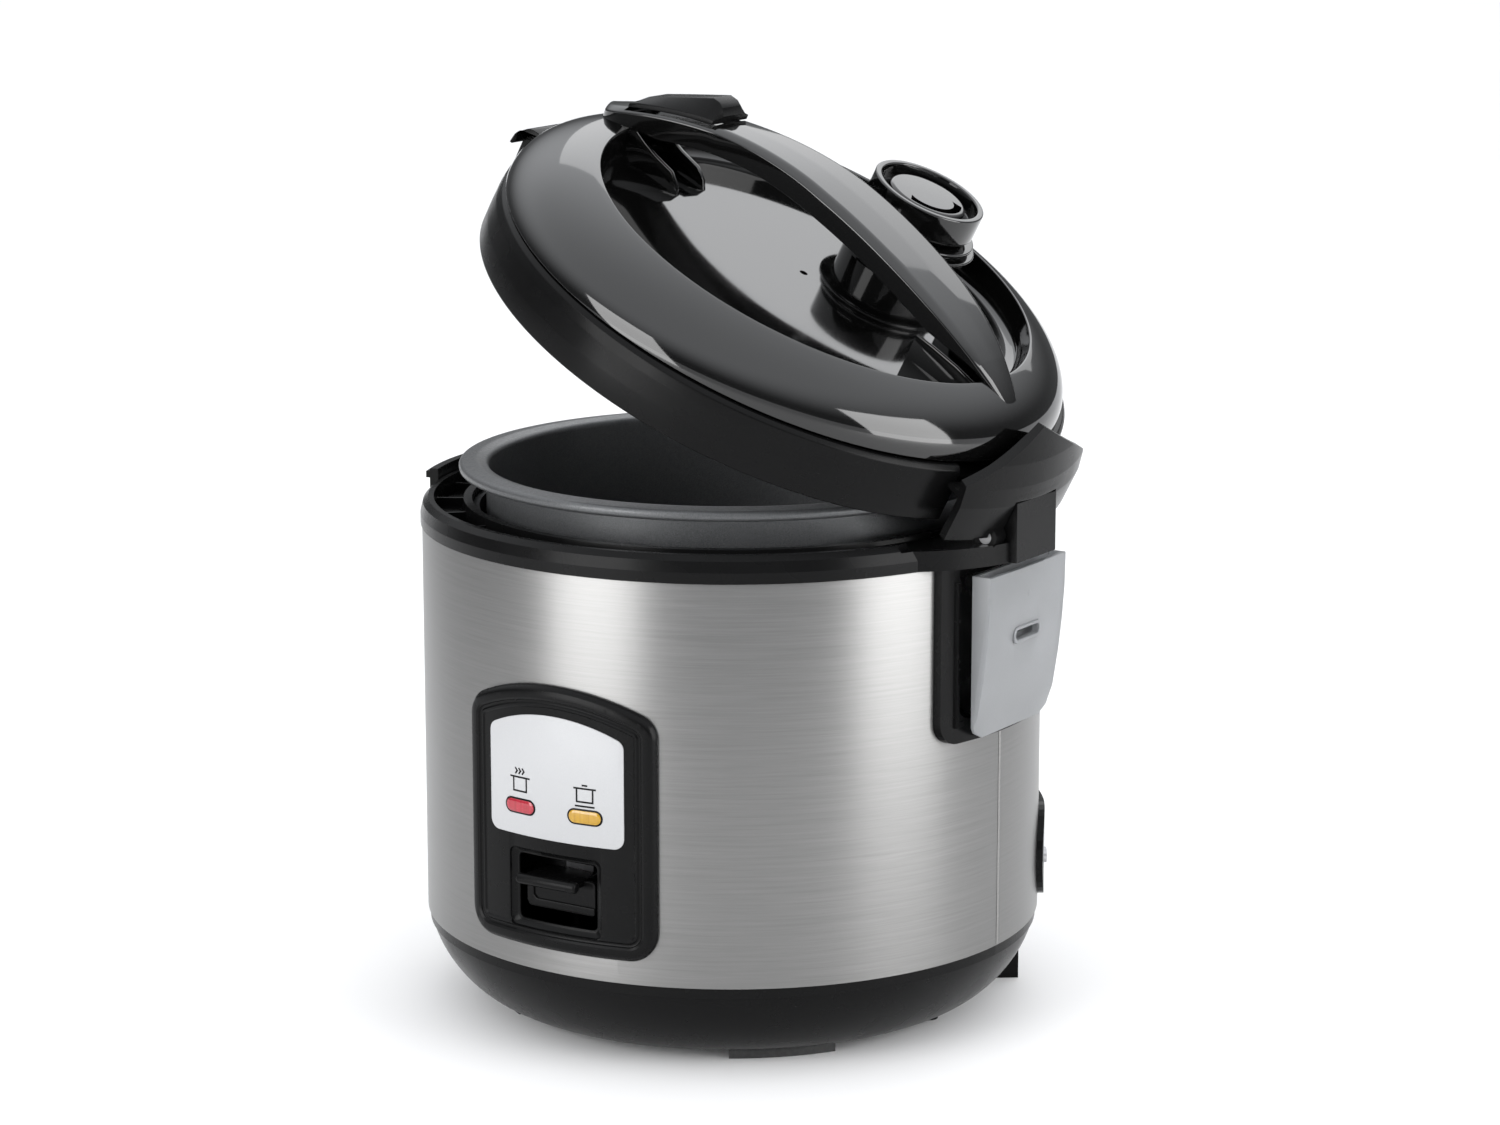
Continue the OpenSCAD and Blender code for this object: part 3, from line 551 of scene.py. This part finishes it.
def base_pan():
    """Moulded bowl under the steel shell, with its stepped upper edge."""
    top_r, foot_r, floor = SHELL_R - 1.0, 91.0, 4.0
    outer = []
    for i in range(29):
        a = math.radians(90 * i / 28)
        outer.append((foot_r + (top_r - foot_r) * math.cos(a) ** 1.25,
                      SHELL_LOW - 0.6 - (SHELL_LOW - 0.6 - floor) * math.sin(a) ** 1.25))
    inner = [(r - 2.4, z + 1.6) for r, z in reversed(outer)]
    hole_r = foot_r - 60
    rim = SHELL_LOW - 0.15
    outline = ([(hole_r, floor)] + outer[::-1] + [(top_r, rim), (top_r - 2.4, rim)]
               + inner[::-1] + [(hole_r, floor + 2.2)])
    bowl = smooth(lathe("base_bowl", outline, steps=256), 40)
    return finish_piece(bowl, MATERIALS["satin_black"], "cooker", "satin_black")


def shell():
    """Brushed steel wrap with a rolled lower edge and a vertical lap seam."""
    r, sheet = SHELL_R, 0.8
    corners = [(r, SHELL_LOW), (r, SHELL_HIGH), (r - sheet, SHELL_HIGH), (r - sheet, SHELL_LOW)]
    outline = filleted(corners, 0.25, 3)
    wall = lathe("steel_shell", outline, steps=288)
    cut(wall, box("cutter", -24, 24, -130, -100, 47, 84))
    cut(wall, box("cutter", -24, 24, -130, -100, 91, 105))
    cut(wall, box("cutter", 100, 130, -32.5, 32.5, 125.5, SHELL_HIGH + 5))
    smooth(wall, 30)
    finish_piece(wall, MATERIALS["brushed_steel"], "cooker", "brushed_steel", "outer_shell")

    def strip(left, right, inset):
        low, high = SHELL_LOW + inset, SHELL_HIGH - inset
        return [(left, low), (right, low), (right, high), (left, high)]

    seam = stepped_plate("shell_seam", [(strip(-1.1, 1.1, 0.3), -0.4), (strip(-1.1, 1.1, 0.3), 0.1),
                                        (strip(-0.2, 0.8, 0.5), 0.36)])
    wrap(seam, r, 90.0)
    finish_piece(seam, MATERIALS["brushed_steel"], "cooker", "brushed_steel")


# ---------------------------------------------------------------- pot


def pot():
    """Spun pot with a rolled flange."""
    z0, z1, r, f = PLATE_Z, POT_TOP, POT_R, FLANGE_R
    outline = filleted([
        (0, z0), (r, z0), (r, z1 - 5.2), (f - 0.4, z1 - 4.6), (f, z1 - 0.9), (r + 3.5, z1),
        (r - 1.2, z1 - 1.4), (r - 1.9, z0 + 2), (0, z0 + 2)],
        [0, 14, 1.6, 1.6, 1.8, 5.0, 2.5, 12, 0], 9)
    body = smooth(lathe("pot_body", outline, steps=256), 50)
    return finish_piece(body, MATERIALS["pot_coating"], "pot", "pot_coating", "inner_pot")


# ---------------------------------------------------------------- lid


def dome_z(x, y=0.0):
    """Height of the dome's surface over a point of the plan."""
    r = min(1.0, math.hypot(x - DOME_X, y) / DOME_R)
    return DOME_EDGE_Z + DOME_RISE * math.sqrt(1 - r ** 4)


def dome_section(a):
    """The dome's skin in (distance from the recess's axis, z), from the foot to the recess floor."""
    shift = RECESS_X - DOME_X
    edge = math.sqrt(DOME_R ** 2 - (shift * math.cos(a)) ** 2) - shift * math.sin(a)
    crown = []
    for i in range(1, 17):
        r = edge + (RECESS_R - edge) * (i / 16) ** 2
        crown.append((r, dome_z(RECESS_X + r * math.sin(a), -r * math.cos(a))))
    points = ([(edge - 3.0, DOME_EDGE_Z), (edge, DOME_EDGE_Z)] + crown
              + [(RECESS_R - 0.8, RECESS_FLOOR), (RECESS_R - 14, RECESS_FLOOR)])
    return filleted(points, [0, 0.4] + [0] * 15 + [0.7, 6.0, 0], 7, closed=False)


def lid_dome():
    """Piano-black dome: one skin that runs from the rim into the round recess."""
    steps = 288
    rings = []
    for i in range(steps):
        a = 2 * math.pi * i / steps
        section = dome_section(a)
        floor = [(section[-1][0] * (1 - t), RECESS_FLOOR) for t in (0.25, 0.5, 0.75, 0.95)]
        rings.append([(RECESS_X + r * math.sin(a), -r * math.cos(a), z) for r, z in section + floor])
    n = len(rings[0])
    verts = [p for ring in rings for p in ring] + [(RECESS_X, 0, RECESS_FLOOR)]
    faces = []
    for i in range(steps):
        j = (i + 1) % steps
        faces += [(i * n + k, j * n + k, j * n + k + 1, i * n + k + 1) for k in range(n - 1)]
        faces.append((i * n + n - 1, j * n + n - 1, len(verts) - 1))
    skin = make("dome_skin", verts, faces, lid=True)
    thick = skin.modifiers.new("thickness", "SOLIDIFY")
    thick.thickness = 2.0 * MM
    thick.offset = -1
    apply_modifiers(skin)
    cut(skin, lathe("cutter", [(0, 200), (1.6, 200), (1.6, 250), (0, 250)], (2, 0), 32, lid=True))
    smooth(skin, 32)
    return finish_piece(skin, MATERIALS["gloss_black"], "lid", "gloss_black", "lid_dome")


def dome_fittings():
    """Stepped vent tower and the curved ribs under the handle's ends."""
    bore_r, tower_r = 14.3, 21.5
    steps = [(bore_r, 218), (tower_r, 218), (tower_r, 243.2), (26, 243.2), (26, 245), (21.6, 245),
             (21.6, 246.6), (24.3, 246.6), (24.3, 248.2), (bore_r, 248.2)]
    rounding = [0, 1, 0.6, 0.6, 0.6, 0.3, 0.3, 0.5, 0.5, 0.4]
    tower = lathe("vent_tower", filleted(steps, rounding, 4), (VENT_X, VENT_Y), 128, lid=True)
    smooth(tower, 40)
    finish_piece(tower, MATERIALS["gloss_black"], "lid", "gloss_black")
    front = [(-85.5, 229), (-85.5, 242.6), (-82, 242.6), (-76, 240.2), (-70, 238.4), (-61, 236.8),
             (-56.5, 233.5), (-54, 229)]
    rear = [(88.5, 229), (88.5, 236.6), (77.5, 238.5), (66, 239.6), (58, 240), (58, 229)]
    for side, label in ((-1, "left"), (1, "right")):
        for name, curve, y in (("front_rib", front, 9.0), ("rear_rib", rear, 8.0)):
            rib = prism(f"{name}_{label}", curve, side * y - 0.9, side * y + 0.9, "y", lid=True)
            bevel(rib, 0.35, 2)
            smooth(rib, 35)
            finish_piece(rib, MATERIALS["gloss_black"], "lid", "gloss_black")


def lid_skirt():
    """Satin band round the lid, open at the hinge, with the hood of the latch in front."""
    gap = 18.3
    outline = filleted([(115.2, 197), (115.2, 206), (114.9, 214), (114.3, 218), (112.9, 219.4),
                        (110.6, 219.4), (111.6, 217), (112.2, 213), (112.4, 206), (112.6, 197.4)],
                       [0.9, 10, 10, 1.5, 0.8, 0.3, 1, 6, 6, 0.9], 6)
    band = lathe("skirt_band", outline, steps=224, start=90 + gap, end=450 - gap, lid=True)
    cut(band, box("cutter", -127.6, -109, -10.5, 10.5, 190, 217.6, lid=True))
    bevel(band, 0.35, 2, 50)
    smooth(band, 35)
    finish_piece(band, MATERIALS["satin_black"], "lid", "satin_black", "lid_skirt")
    hood_side = filleted([(-112.6, 219.4), (-122.5, 219.0), (-127.6, 214), (-128.5, 209.3), (-127.2, 209.3),
                          (-126.6, 216.2), (-112.6, 216.8)], [0.3, 5, 4, 0.4, 0.4, 3, 0.3], 6)
    hood = prism("latch_hood", hood_side, -13, 13, "y", lid=True)
    bevel(hood, 0.8, 3)
    smooth(hood, 35)
    finish_piece(hood, MATERIALS["satin_black"], "lid", "satin_black")


def apron_top(y):
    """Height of the apron's ridge: a gable that levels out at its ends."""
    side = max(0.0, abs(y) - 45.0)
    return 235.4 - 0.40 * min(abs(y), 45.0) - 0.39 * side - 1.2 * math.exp(-(y / 3.5) ** 2)


def apron_r(y, z):
    """Outer radius of the hinge apron: upright below, leaning in above, scooped at both sides."""
    lean = 10.8 * (max(0.0, z - 210.0) / 26.0) ** 1.45
    scoop = 1.6 * math.exp(-((abs(y) - 31) / 9) ** 2 - ((z - 205) / 6) ** 2)
    return 125.9 - lean - scoop


def lid_apron():
    """Gabled cover over the hinge that follows the body's curve."""
    half_az, columns, rows = 20.2, 96, 24
    verts = []
    for i in range(columns + 1):
        a = math.radians(90 - half_az + 2 * half_az * i / columns)
        y = -126 * math.cos(a)
        edge = max(0.0, (abs(y) - 39.0) / 4.5) ** 2
        low = 196.4 + 0.5 * edge
        for k in range(rows + 1):
            z = low + (apron_top(y) - low) * k / rows
            r = apron_r(y, z) - 1.0 * edge
            verts.append((r * math.sin(a), -r * math.cos(a), z))
    n = rows + 1
    faces = [(i * n + k, (i + 1) * n + k, (i + 1) * n + k + 1, i * n + k + 1)
             for i in range(columns) for k in range(rows)]
    cover = make("hinge_apron", verts, faces, lid=True)
    outward = cover.data.polygons[columns * rows // 2].normal
    thick = cover.modifiers.new("thickness", "SOLIDIFY")
    thick.thickness = 3.0 * MM
    thick.offset = -1 if outward.x > 0 else 1
    apply_modifiers(cover)
    slot_cut = lathe("cutter", [(0, -15), (15.6, -15), (15.6, 15), (0, 15)], steps=96)
    slot_cut.data.transform(Matrix.Translation(HINGE * MM) @ Matrix.Rotation(math.radians(90), 4, "X"))
    cut(cover, slot_cut)
    bevel(cover, 0.7, 3, 40)
    smooth(cover, 35)
    finish_piece(cover, MATERIALS["satin_black"], "lid", "satin_black")


def handle_top(x):
    if x < -8:
        return 269 - 27.5 * ((-8 - x) / 95) ** 2
    u = (x + 8) / 100
    return 269 - 21.5 * u ** 1.7 - 5.5 * u ** 6


def handle_low(x):
    if x < -10:
        return 257.8 - 9 * ((-10 - x) / 50) ** 2
    return handle_top(x) - 11.2


def handle_half(x):
    if x < -87.7:
        return 13.5 * math.sqrt(max(0.01, 1 - ((-87.7 - x) / 13.5) ** 2))
    if x < 5:
        return 18.5 - 5 * min(1.0, (5 - x) / 55) ** 1.1
    return 18.5 * max(0.004, 1 - ((x - 5) / 100) ** 3) ** 0.75


def handle_section(x):
    """Section of the bridge handle at one x: a broad, barely crowned top with crisp edges."""
    half, top = handle_half(x), handle_top(x)
    seat = dome_z(x)
    low = max(handle_low(x), seat - 0.5) if -78 < x < 86 else seat - 1.0
    low = min(low, top - 1.2)
    drop = min(1.6, 0.4 * (top - low), 0.25 * half)
    outline = [(-half * 0.88, low), (half * 0.88, low),
               (half, top - 1.6 * drop), (half * 0.8, top - 0.4 * drop), (0, top),
               (-half * 0.8, top - 0.4 * drop), (-half, top - 1.6 * drop)]
    edge = min(1.1, half * 0.3)
    rounded = filleted(outline, [1.4, 1.4, edge, 6, 40, 6, edge], 5)
    return [(x, y, z) for y, z in rounded]


def lid_handle():
    """Bridge handle over the recess, from a round nose to a pointed tail."""
    nose = [-101.1, -100.8, -100.1, -99, -97.4, -95, -92, -89, -86, -82, -79, -77.9]
    tail = [85.9, 86.1, 89, 92, 95, 97.5, 99.5, 101.5, 103]
    stations = nose + list(range(-75, 84, 3)) + tail
    bridge = loft("bridge_handle", [handle_section(x) for x in stations], lid=True)
    seat = [(x, handle_top(x) - 3.4) for x in (-88.5, -79, -70, -61, -51.8)]
    cut(bridge, prism("cutter", seat + [(-51.8, 280), (-88.5, 280)], -12.5, 12.5, "y", lid=True))
    smooth(bridge, 38)
    finish_piece(bridge, MATERIALS["gloss_black"], "lid", "gloss_black", "lid_handle")


def release_button():
    """Wedge-shaped thumb button: a narrow flat crown with flanks that slope to the handle."""
    crown = [(-87.9, 251.3), (-84.5, 255), (-76.2, 259.9), (-67.9, 264.7), (-59.5, 269.5),
             (-56.2, 269.4), (-54.0, 268.2), (-52.4, 265.6)]
    rings = []
    for x, z in crown:
        foot, shoulder = handle_top(x) - 0.4, min(handle_top(x) + 1.6, z - 0.3)
        outline = [(-12, foot), (12, foot), (12, shoulder), (6.2, z), (-6.2, z), (-12, shoulder)]
        rings.append([(x, y, h) for y, h in filleted(outline, [0, 0, 0.6, 0.9, 0.9, 0.6], 3)])
    wedge = loft("thumb_button", rings, lid=True)
    bevel(wedge, 0.5, 3, 28)
    smooth(wedge, 30)
    finish_piece(wedge, MATERIALS["satin_black"], "release", "satin_black", "release_button")


def around_vent(u, v, turn):
    """A point of the plan given about the vent's axis and turned by an angle in radians."""
    x = VENT_X + u * math.cos(turn) - v * math.sin(turn)
    y = VENT_Y + u * math.sin(turn) + v * math.cos(turn)
    return (x, y)


def vent_cap():
    """Removable steam cap: round cup, sunk disc with a crescent outlet, plug below."""
    centre = (VENT_X, VENT_Y)
    cup = lathe("vent_cup", filleted(
        [(0, 248.9), (20, 248.9), (22.4, 251.2), (22.4, 261.9), (19.9, 261.9), (19.4, 255.4), (16.2, 255.2),
         (15.6, 259.4), (14.6, 260.2), (0, 260.6)], [0, 0.8, 1.2, 0.7, 0.7, 0.8, 1.0, 0.8, 3, 0], 6),
        centre, 160, lid=True)
    outer, inner = range(-62, 63, 4), range(88, -89, -8)
    crescent = [(13.8 * math.cos(math.radians(t)), 13.8 * math.sin(math.radians(t))) for t in outer]
    crescent += [(2.6 + 8.2 * math.cos(math.radians(t)), 9.6 * math.sin(math.radians(t))) for t in inner]
    outlet = [around_vent(u, v, -0.45) for u, v in crescent]
    cut(cup, prism("cutter", outlet, 254.5, 264, "z", lid=True))
    smooth(cup, 35)
    finish_piece(cup, MATERIALS["gloss_black"], "vent", "gloss_black", "vent_cap")
    spoke = [(15.4, -0.5), (20.2, -0.5), (20.2, 0.5), (15.4, 0.5)]
    plan = [around_vent(u, v, math.radians(-26)) for u, v in spoke]
    rib = prism("vent_spoke", plan, 255.0, 259.6, "z", lid=True)
    bevel(rib, 0.2, 2)
    finish_piece(smooth(rib), MATERIALS["gloss_black"], "vent", "gloss_black")
    neck_outline = [(0, 219), (13.4, 219)]
    for z in (222.0, 226.0, 236.0):
        neck_outline += [(13.4, z), (14.15, z + 0.2), (14.15, z + 1.4), (13.4, z + 1.6)]
    neck = lathe("vent_neck", neck_outline + [(13.4, 249.4), (0, 249.4)], centre, 96, lid=True)
    smooth(neck, 35)
    finish_piece(neck, MATERIALS["gloss_black"], "vent", "gloss_black")


# ---------------------------------------------------------------- front panel


def panel():
    """Raised frame with a double moulded rim, printed plate, lenses and a lined lever window."""
    def outline(grow):
        return arched(39.6, 46.4, 133.5, 143.2, 8.5, 9.5, grow)

    frame_plate = stepped_plate("panel_surround", [
        (outline(1.4), 0.1), (outline(1.4), 1.3), (outline(0.9), 2.2), (outline(0), 3.2),
        (outline(-0.9), 3.58), (outline(-3.2), 3.55), (outline(-4.0), 3.1), (outline(-4.3), 2.5),
        (outline(-5.2), 2.4), (outline(-5.8), 2.9), (outline(-6.4), 2.9), (outline(-7.0), 2.4)])
    opening = round_rect(20, 15, 3, 0, WINDOW_Z)
    cut(frame_plate, prism("cutter", opening, -20, 20, "y"))
    bevel(frame_plate, 0.25, 2, 40)
    wrap(frame_plate, SHELL_R)
    smooth(frame_plate, 28)
    finish_piece(frame_plate, MATERIALS["satin_black"], "cooker", "satin_black", "panel_frame")

    bezel_levels = [(round_rect(half_w, half_h, r, 0, WINDOW_Z), height) for half_w, half_h, r, height in (
        (19.9, 14.9, 2.9, 2.42), (19.9, 14.9, 2.9, 1.6), (18.0, 13.0, 2.2, 0.2), (17.4, 12.4, 2.0, 0.2),
        (17.2, 12.2, 1.9, -0.6), (19.4, 14.4, 2.6, -0.6), (20.9, 15.9, 3.5, 0.6), (20.9, 15.9, 3.5, 2.3))]
    levels = len(bezel_levels)
    n = len(bezel_levels[0][0])
    verts = [(x, -h, z) for points, h in bezel_levels for x, z in points]
    faces = [(i * n + k, i * n + (k + 1) % n, (i + 1) % levels * n + (k + 1) % n, (i + 1) % levels * n + k)
             for i in range(levels) for k in range(n)]
    bezel = make("lever_bezel", verts, faces)
    bevel(bezel, 0.3, 2, 30)
    wrap(bezel, SHELL_R)
    smooth(bezel, 30)
    finish_piece(bezel, MATERIALS["satin_black"], "cooker", "satin_black")

    def plate(grow):
        return arched(29, 87, 126.5, 133.5, 4, 4, grow)

    label = stepped_plate("label_plate", [(plate(0), 2.42), (plate(0), 2.8), (plate(-0.3), 2.95)])
    wrap(label, SHELL_R)
    smooth(label, 35)
    finish_piece(label, MATERIALS["label_silver"], "cooker", "label_silver", "panel_label")
    for name, x in (("lens_red", -LENS_X), ("lens_amber", LENS_X)):
        surround = stepped_plate(f"{name}_surround", [
            (round_rect(7.1, 3.0, 2.95, x, LENS_Z), 2.9), (round_rect(7.1, 3.0, 2.95, x, LENS_Z), 3.05),
            (round_rect(6.9, 2.8, 2.75, x, LENS_Z), 3.1)])
        wrap(surround, SHELL_R)
        finish_piece(smooth(surround), MATERIALS["satin_black"], "cooker", "satin_black")
        lens = stepped_plate(f"{name}_cover", [
            (round_rect(6.4, 2.35, 2.3, x, LENS_Z), 2.9), (round_rect(6.4, 2.35, 2.3, x, LENS_Z), 3.2),
            (round_rect(6.1, 2.05, 2.0, x, LENS_Z), 3.4), (round_rect(5.2, 1.2, 1.15, x, LENS_Z), 3.5)])
        wrap(lens, SHELL_R, step=0.8)
        finish_piece(smooth(lens), MATERIALS[name], "cooker", name, name)


def symbol_bar(name, x0, z0, x1, z1, width=0.66):
    """A thin printed stroke on the label plate."""
    along = Vector((x1 - x0, z1 - z0)).normalized() * (width / 2)
    side = Vector((-along.y, along.x))
    a, b = Vector((x0, z0)) - along, Vector((x1, z1)) + along
    corners = [tuple(a - side), tuple(b - side), tuple(b + side), tuple(a + side)]
    return stepped_plate(name, [(corners, 2.93), (corners, 2.99)])


def symbols():
    """Plain pictograms: a pot on the boil over red, a covered pot on a warm plate over amber."""
    boiling = [(-3.0, 5.2, -3.0, 0), (3.0, 0, 3.0, 5.2), (-3.0, 0, 3.0, 0), (-4.3, 5.2, 4.3, 5.2)]
    for dx in (-1.6, 0, 1.6):
        boiling += [(dx - 0.35, 6.6, dx + 0.35, 7.5), (dx + 0.35, 7.5, dx - 0.35, 8.4)]
    covered = [(-3.2, 4.6, -3.2, 0), (3.2, 0, 3.2, 4.6), (-3.2, 0, 3.2, 0),
               (-4.2, 5.0, 4.2, 5.0), (-0.8, 6.2, 0.8, 6.2), (-3.6, -1.6, 3.6, -1.6)]
    z = LENS_Z + 5.6
    strokes = [(x + x0, z + z0, x + x1, z + z1)
               for x, drawing in ((-LENS_X, boiling), (LENS_X, covered)) for x0, z0, x1, z1 in drawing]
    for i, stroke in enumerate(strokes):
        mark = symbol_bar(f"symbol_stroke_{i}", *stroke)
        wrap(mark, SHELL_R, step=1.0)
        finish_piece(mark, MATERIALS["satin_black"], "cooker", "satin_black")


def cook_lever():
    """Lever flap in the window with its rounded bar, the web that carries it and an L-shaped edge."""
    bar_y, bar_r = -121.5, 2.09
    outline = filleted([(0, -14.6), (bar_r, -14.6), (bar_r, 11.6), (0, 11.6)], [0, 1.9, 1.9, 0], 6)
    bar = lathe("lever_bar", outline, steps=40)
    bar.data.transform(Matrix.Translation(Vector((0, bar_y, LEVER_Z)) * MM)
                       @ Matrix.Rotation(math.radians(90), 4, "Y"))
    finish_piece(smooth(bar, 50), MATERIALS["satin_black"], "cook", "satin_black", "cook_lever")
    web = box("lever_web", -13, 10, bar_y, -104, LEVER_Z - 1.2, LEVER_Z + 1.2)
    bevel(web, 0.3, 2)
    finish_piece(smooth(web), MATERIALS["satin_black"], "cook", "satin_black")
    flap = prism("lever_flap", round_rect(15, 6.4, 1.5, 0, 65.4), -114.9, -113.2, "y")
    cut(flap, box("cutter", -7.4, 7.4, -113.7, -113, 66.6, 72))
    bevel(flap, 0.4, 3)
    finish_piece(smooth(flap), MATERIALS["satin_black"], "cook", "satin_black")
    rim = [(-15, 71.5), (-15, 61), (-13.5, 59.5), (15, 59.5),
           (15, 62.3), (-10.6, 62.3), (-12, 63.7), (-12, 71.5)]
    edge = prism("lever_flap_edge", filleted(rim, [0, 1, 1, 0.4, 0.4, 1.4, 1.4, 0], 4), -115.5, -114.7, "y")
    bevel(edge, 0.35, 3)
    finish_piece(smooth(edge), MATERIALS["satin_black"], "cook", "satin_black")


# ---------------------------------------------------------------- condensate collector


def collector():
    """Frosted cup with its drop mark and slot."""
    half, wall, low, top, back = 28.0, 1.5, 121.0, 182.5, 121.4
    slot_z, drop_z = 157.5, 173
    front = [(122.4, low), (124.4, 131), (126.8, 145), (128.4, 158), (129.4, 170), (129.8, top)]
    stations = [-half, -half + 0.5, -half + 1.4, -21, -14, -7, 0, 7, 14, 21, half - 1.4, half - 0.5, half]

    def column(y):
        rise = 5.0 * max(0.0, (abs(y) - (half - 6)) / 6) ** 2.4
        pull = 0.7 * (y / half) ** 2
        points = [(x - pull * (z - low) / (top - low), max(z, low + rise)) for x, z in front]
        return filleted([(back, low + rise)] + points + [(back, top)], [0, 0.5, 8, 18, 22, 22, 0.3, 0], 4)

    cup = loft("collector_body", [[(x, y, z) for x, z in column(y)] for y in stations])
    hollow = [(122.8, 134), (123.4, 134), (125.0, 145), (126.3, 158), (127.2, 170), (127.6, 190),
              (122.8, 190)]
    cut(cup, prism("cutter", hollow, -half + wall, half - wall, "y"))
    cut(cup, prism("cutter", round_rect(8.4, 1.7, 1.5, 0, slot_z), 120, 140, "x"))
    bevel(cup, 0.25, 2, 50)
    finish_piece(smooth(cup, 40), MATERIALS["frosted"], "collector", "frosted", "collector_cup")

    ring = prism("collector_slot_rim", round_rect(10.0, 3.2, 2.8, 0, slot_z), 127.4, 129.1, "x")
    cut(ring, prism("cutter", round_rect(8.6, 1.8, 1.6, 0, slot_z), 120, 140, "x"))
    bevel(ring, 0.4, 3, 50)
    finish_piece(smooth(ring, 40), MATERIALS["frosted"], "collector", "frosted")
    outline = filleted([(0, -3.6), (2.4, -1.2), (1.9, 0.9), (0, 4.4)], [0, 1.8, 1.5, 0], 6)
    drop = lathe("collector_drop", outline, steps=32)
    flatten = Matrix.Diagonal((0.28, 1, 1, 1))
    drop.data.transform(Matrix.Translation(Vector((129.0, 0, drop_z)) * MM) @ flatten)
    finish_piece(smooth(drop, 60), MATERIALS["frosted"], "collector", "frosted")


def collector_bracket():
    """Black surround with round lower corners, wrapped on the shell behind the collector."""
    def border(grow):
        high = SHELL_HIGH - 0.3
        return ([(38.5 + grow, high), (-38.5 - grow, high)] + arc(-30.5, 128, 8 + grow, 180, 270)
                + arc(30.5, 128, 8 + grow, 270, 360))

    plate = stepped_plate("collector_surround", [
        (border(0), 0.1), (border(0), 2.0), (border(-0.7), 2.7), (border(-1.6), 2.95), (border(-3.4), 2.95)])
    recess = ([(30, SHELL_HIGH + 3), (-30, SHELL_HIGH + 3)] + arc(-24, 134.5, 6, 180, 270)
              + arc(24, 134.5, 6, 270, 360))
    cut(plate, prism("cutter", recess, -20, 20, "y"))
    bevel(plate, 0.3, 2, 40)
    wrap(plate, SHELL_R, 90.0)
    smooth(plate, 30)
    finish_piece(plate, MATERIALS["satin_black"], "cooker", "satin_black")


# ---------------------------------------------------------------- floor, light and camera


def backdrop():
    outline = [(-15, -15), (15, -15), (15, 15), (-15, 15)]
    floor = prism("floor", [(x / MM, y / MM) for x, y in outline], -6, 0, "z")
    m = Nodes("floor_white")
    m.colour(m.noise(3, 2), grey(0.87), grey(0.89))
    m.shader.inputs["Roughness"].default_value = 0.7
    floor.data.materials.append(m.material)


def softbox(name, place, target, width, height, power):
    data = bpy.data.lights.new(name, "AREA")
    data.shape = "RECTANGLE"
    data.size = width
    data.size_y = height
    data.energy = power
    light = bpy.data.objects.new(name, data)
    scene.collection.objects.link(light)
    light.location = place
    light.rotation_euler = (Vector(target) - Vector(place)).to_track_quat("-Z", "Y").to_euler()
    return light


def around_camera(azimuth, distance, height):
    """A place at an azimuth counted from the camera's own, to the right."""
    a = math.radians(CAMERA_AZ + azimuth)
    return (distance * math.sin(a), -distance * math.cos(a), height)


def lights():
    """Pale surround that looks darker in reflections, above all low down, and three large softboxes."""
    scene.view_settings.view_transform = "Standard"
    world = bpy.data.worlds.new("studio")
    scene.world = world
    world.use_nodes = True
    tree = world.node_tree
    pale = tree.nodes["Background"]
    pale.inputs["Color"].default_value = (0.95, 0.96, 0.98, 1)
    pale.inputs["Strength"].default_value = 1.2
    dim = tree.nodes.new("ShaderNodeBackground")
    dim.inputs["Color"].default_value = (0.95, 0.97, 1.0, 1)
    direction = tree.nodes.new("ShaderNodeTexCoord")
    split = tree.nodes.new("ShaderNodeSeparateXYZ")
    sky = tree.nodes.new("ShaderNodeMapRange")
    sky.interpolation_type = "SMOOTHSTEP"
    for key, number in {"From Min": 0.12, "From Max": 0.75, "To Min": 0.13, "To Max": 1.7}.items():
        sky.inputs[key].default_value = number
    tree.links.new(direction.outputs["Generated"], split.inputs[0])
    tree.links.new(split.outputs["Z"], sky.inputs["Value"])
    tree.links.new(sky.outputs["Result"], dim.inputs["Strength"])
    path = tree.nodes.new("ShaderNodeLightPath")
    mix = tree.nodes.new("ShaderNodeMixShader")
    tree.links.new(path.outputs["Is Glossy Ray"], mix.inputs["Fac"])
    tree.links.new(pale.outputs["Background"], mix.inputs[1])
    tree.links.new(dim.outputs["Background"], mix.inputs[2])
    tree.links.new(mix.outputs["Shader"], tree.nodes["World Output"].inputs["Surface"])
    middle = (0, 0, 0.14)
    softbox("strip_left", around_camera(-50, 1.5, 0.35), middle, 0.9, 1.1, 19)
    softbox("strip_right", around_camera(61, 1.5, 0.35), middle, 0.9, 1.1, 20)
    softbox("overhead", around_camera(160, 1.6, 1.3), (0, 0, 0.28), 1.5, 1.0, 5)


CAMERA_AZ = 33.0
CAMERA_DISTANCE = 1.588
CAMERA_HEIGHT = 0.5147
CAMERA_TILT = 12.31
CAMERA_PAN = 0.24
CAMERA_LENS = 102.1


def camera():
    data = bpy.data.cameras.new("camera")
    data.lens = CAMERA_LENS
    data.sensor_width = 36
    data.clip_end = 20
    view = bpy.data.objects.new("camera", data)
    scene.collection.objects.link(view)
    a = math.radians(CAMERA_AZ)
    view.location = (CAMERA_DISTANCE * math.sin(a), -CAMERA_DISTANCE * math.cos(a), CAMERA_HEIGHT)
    view.rotation_euler = (math.radians(90 - CAMERA_TILT), 0, math.radians(CAMERA_AZ - CAMERA_PAN))
    scene.camera = view


camera()
lights()
backdrop()
base_pan()
shell()
pot()
lid_dome()
dome_fittings()
lid_skirt()
lid_apron()
lid_handle()
release_button()
vent_cap()
panel()
symbols()
cook_lever()
collector()
collector_bracket()
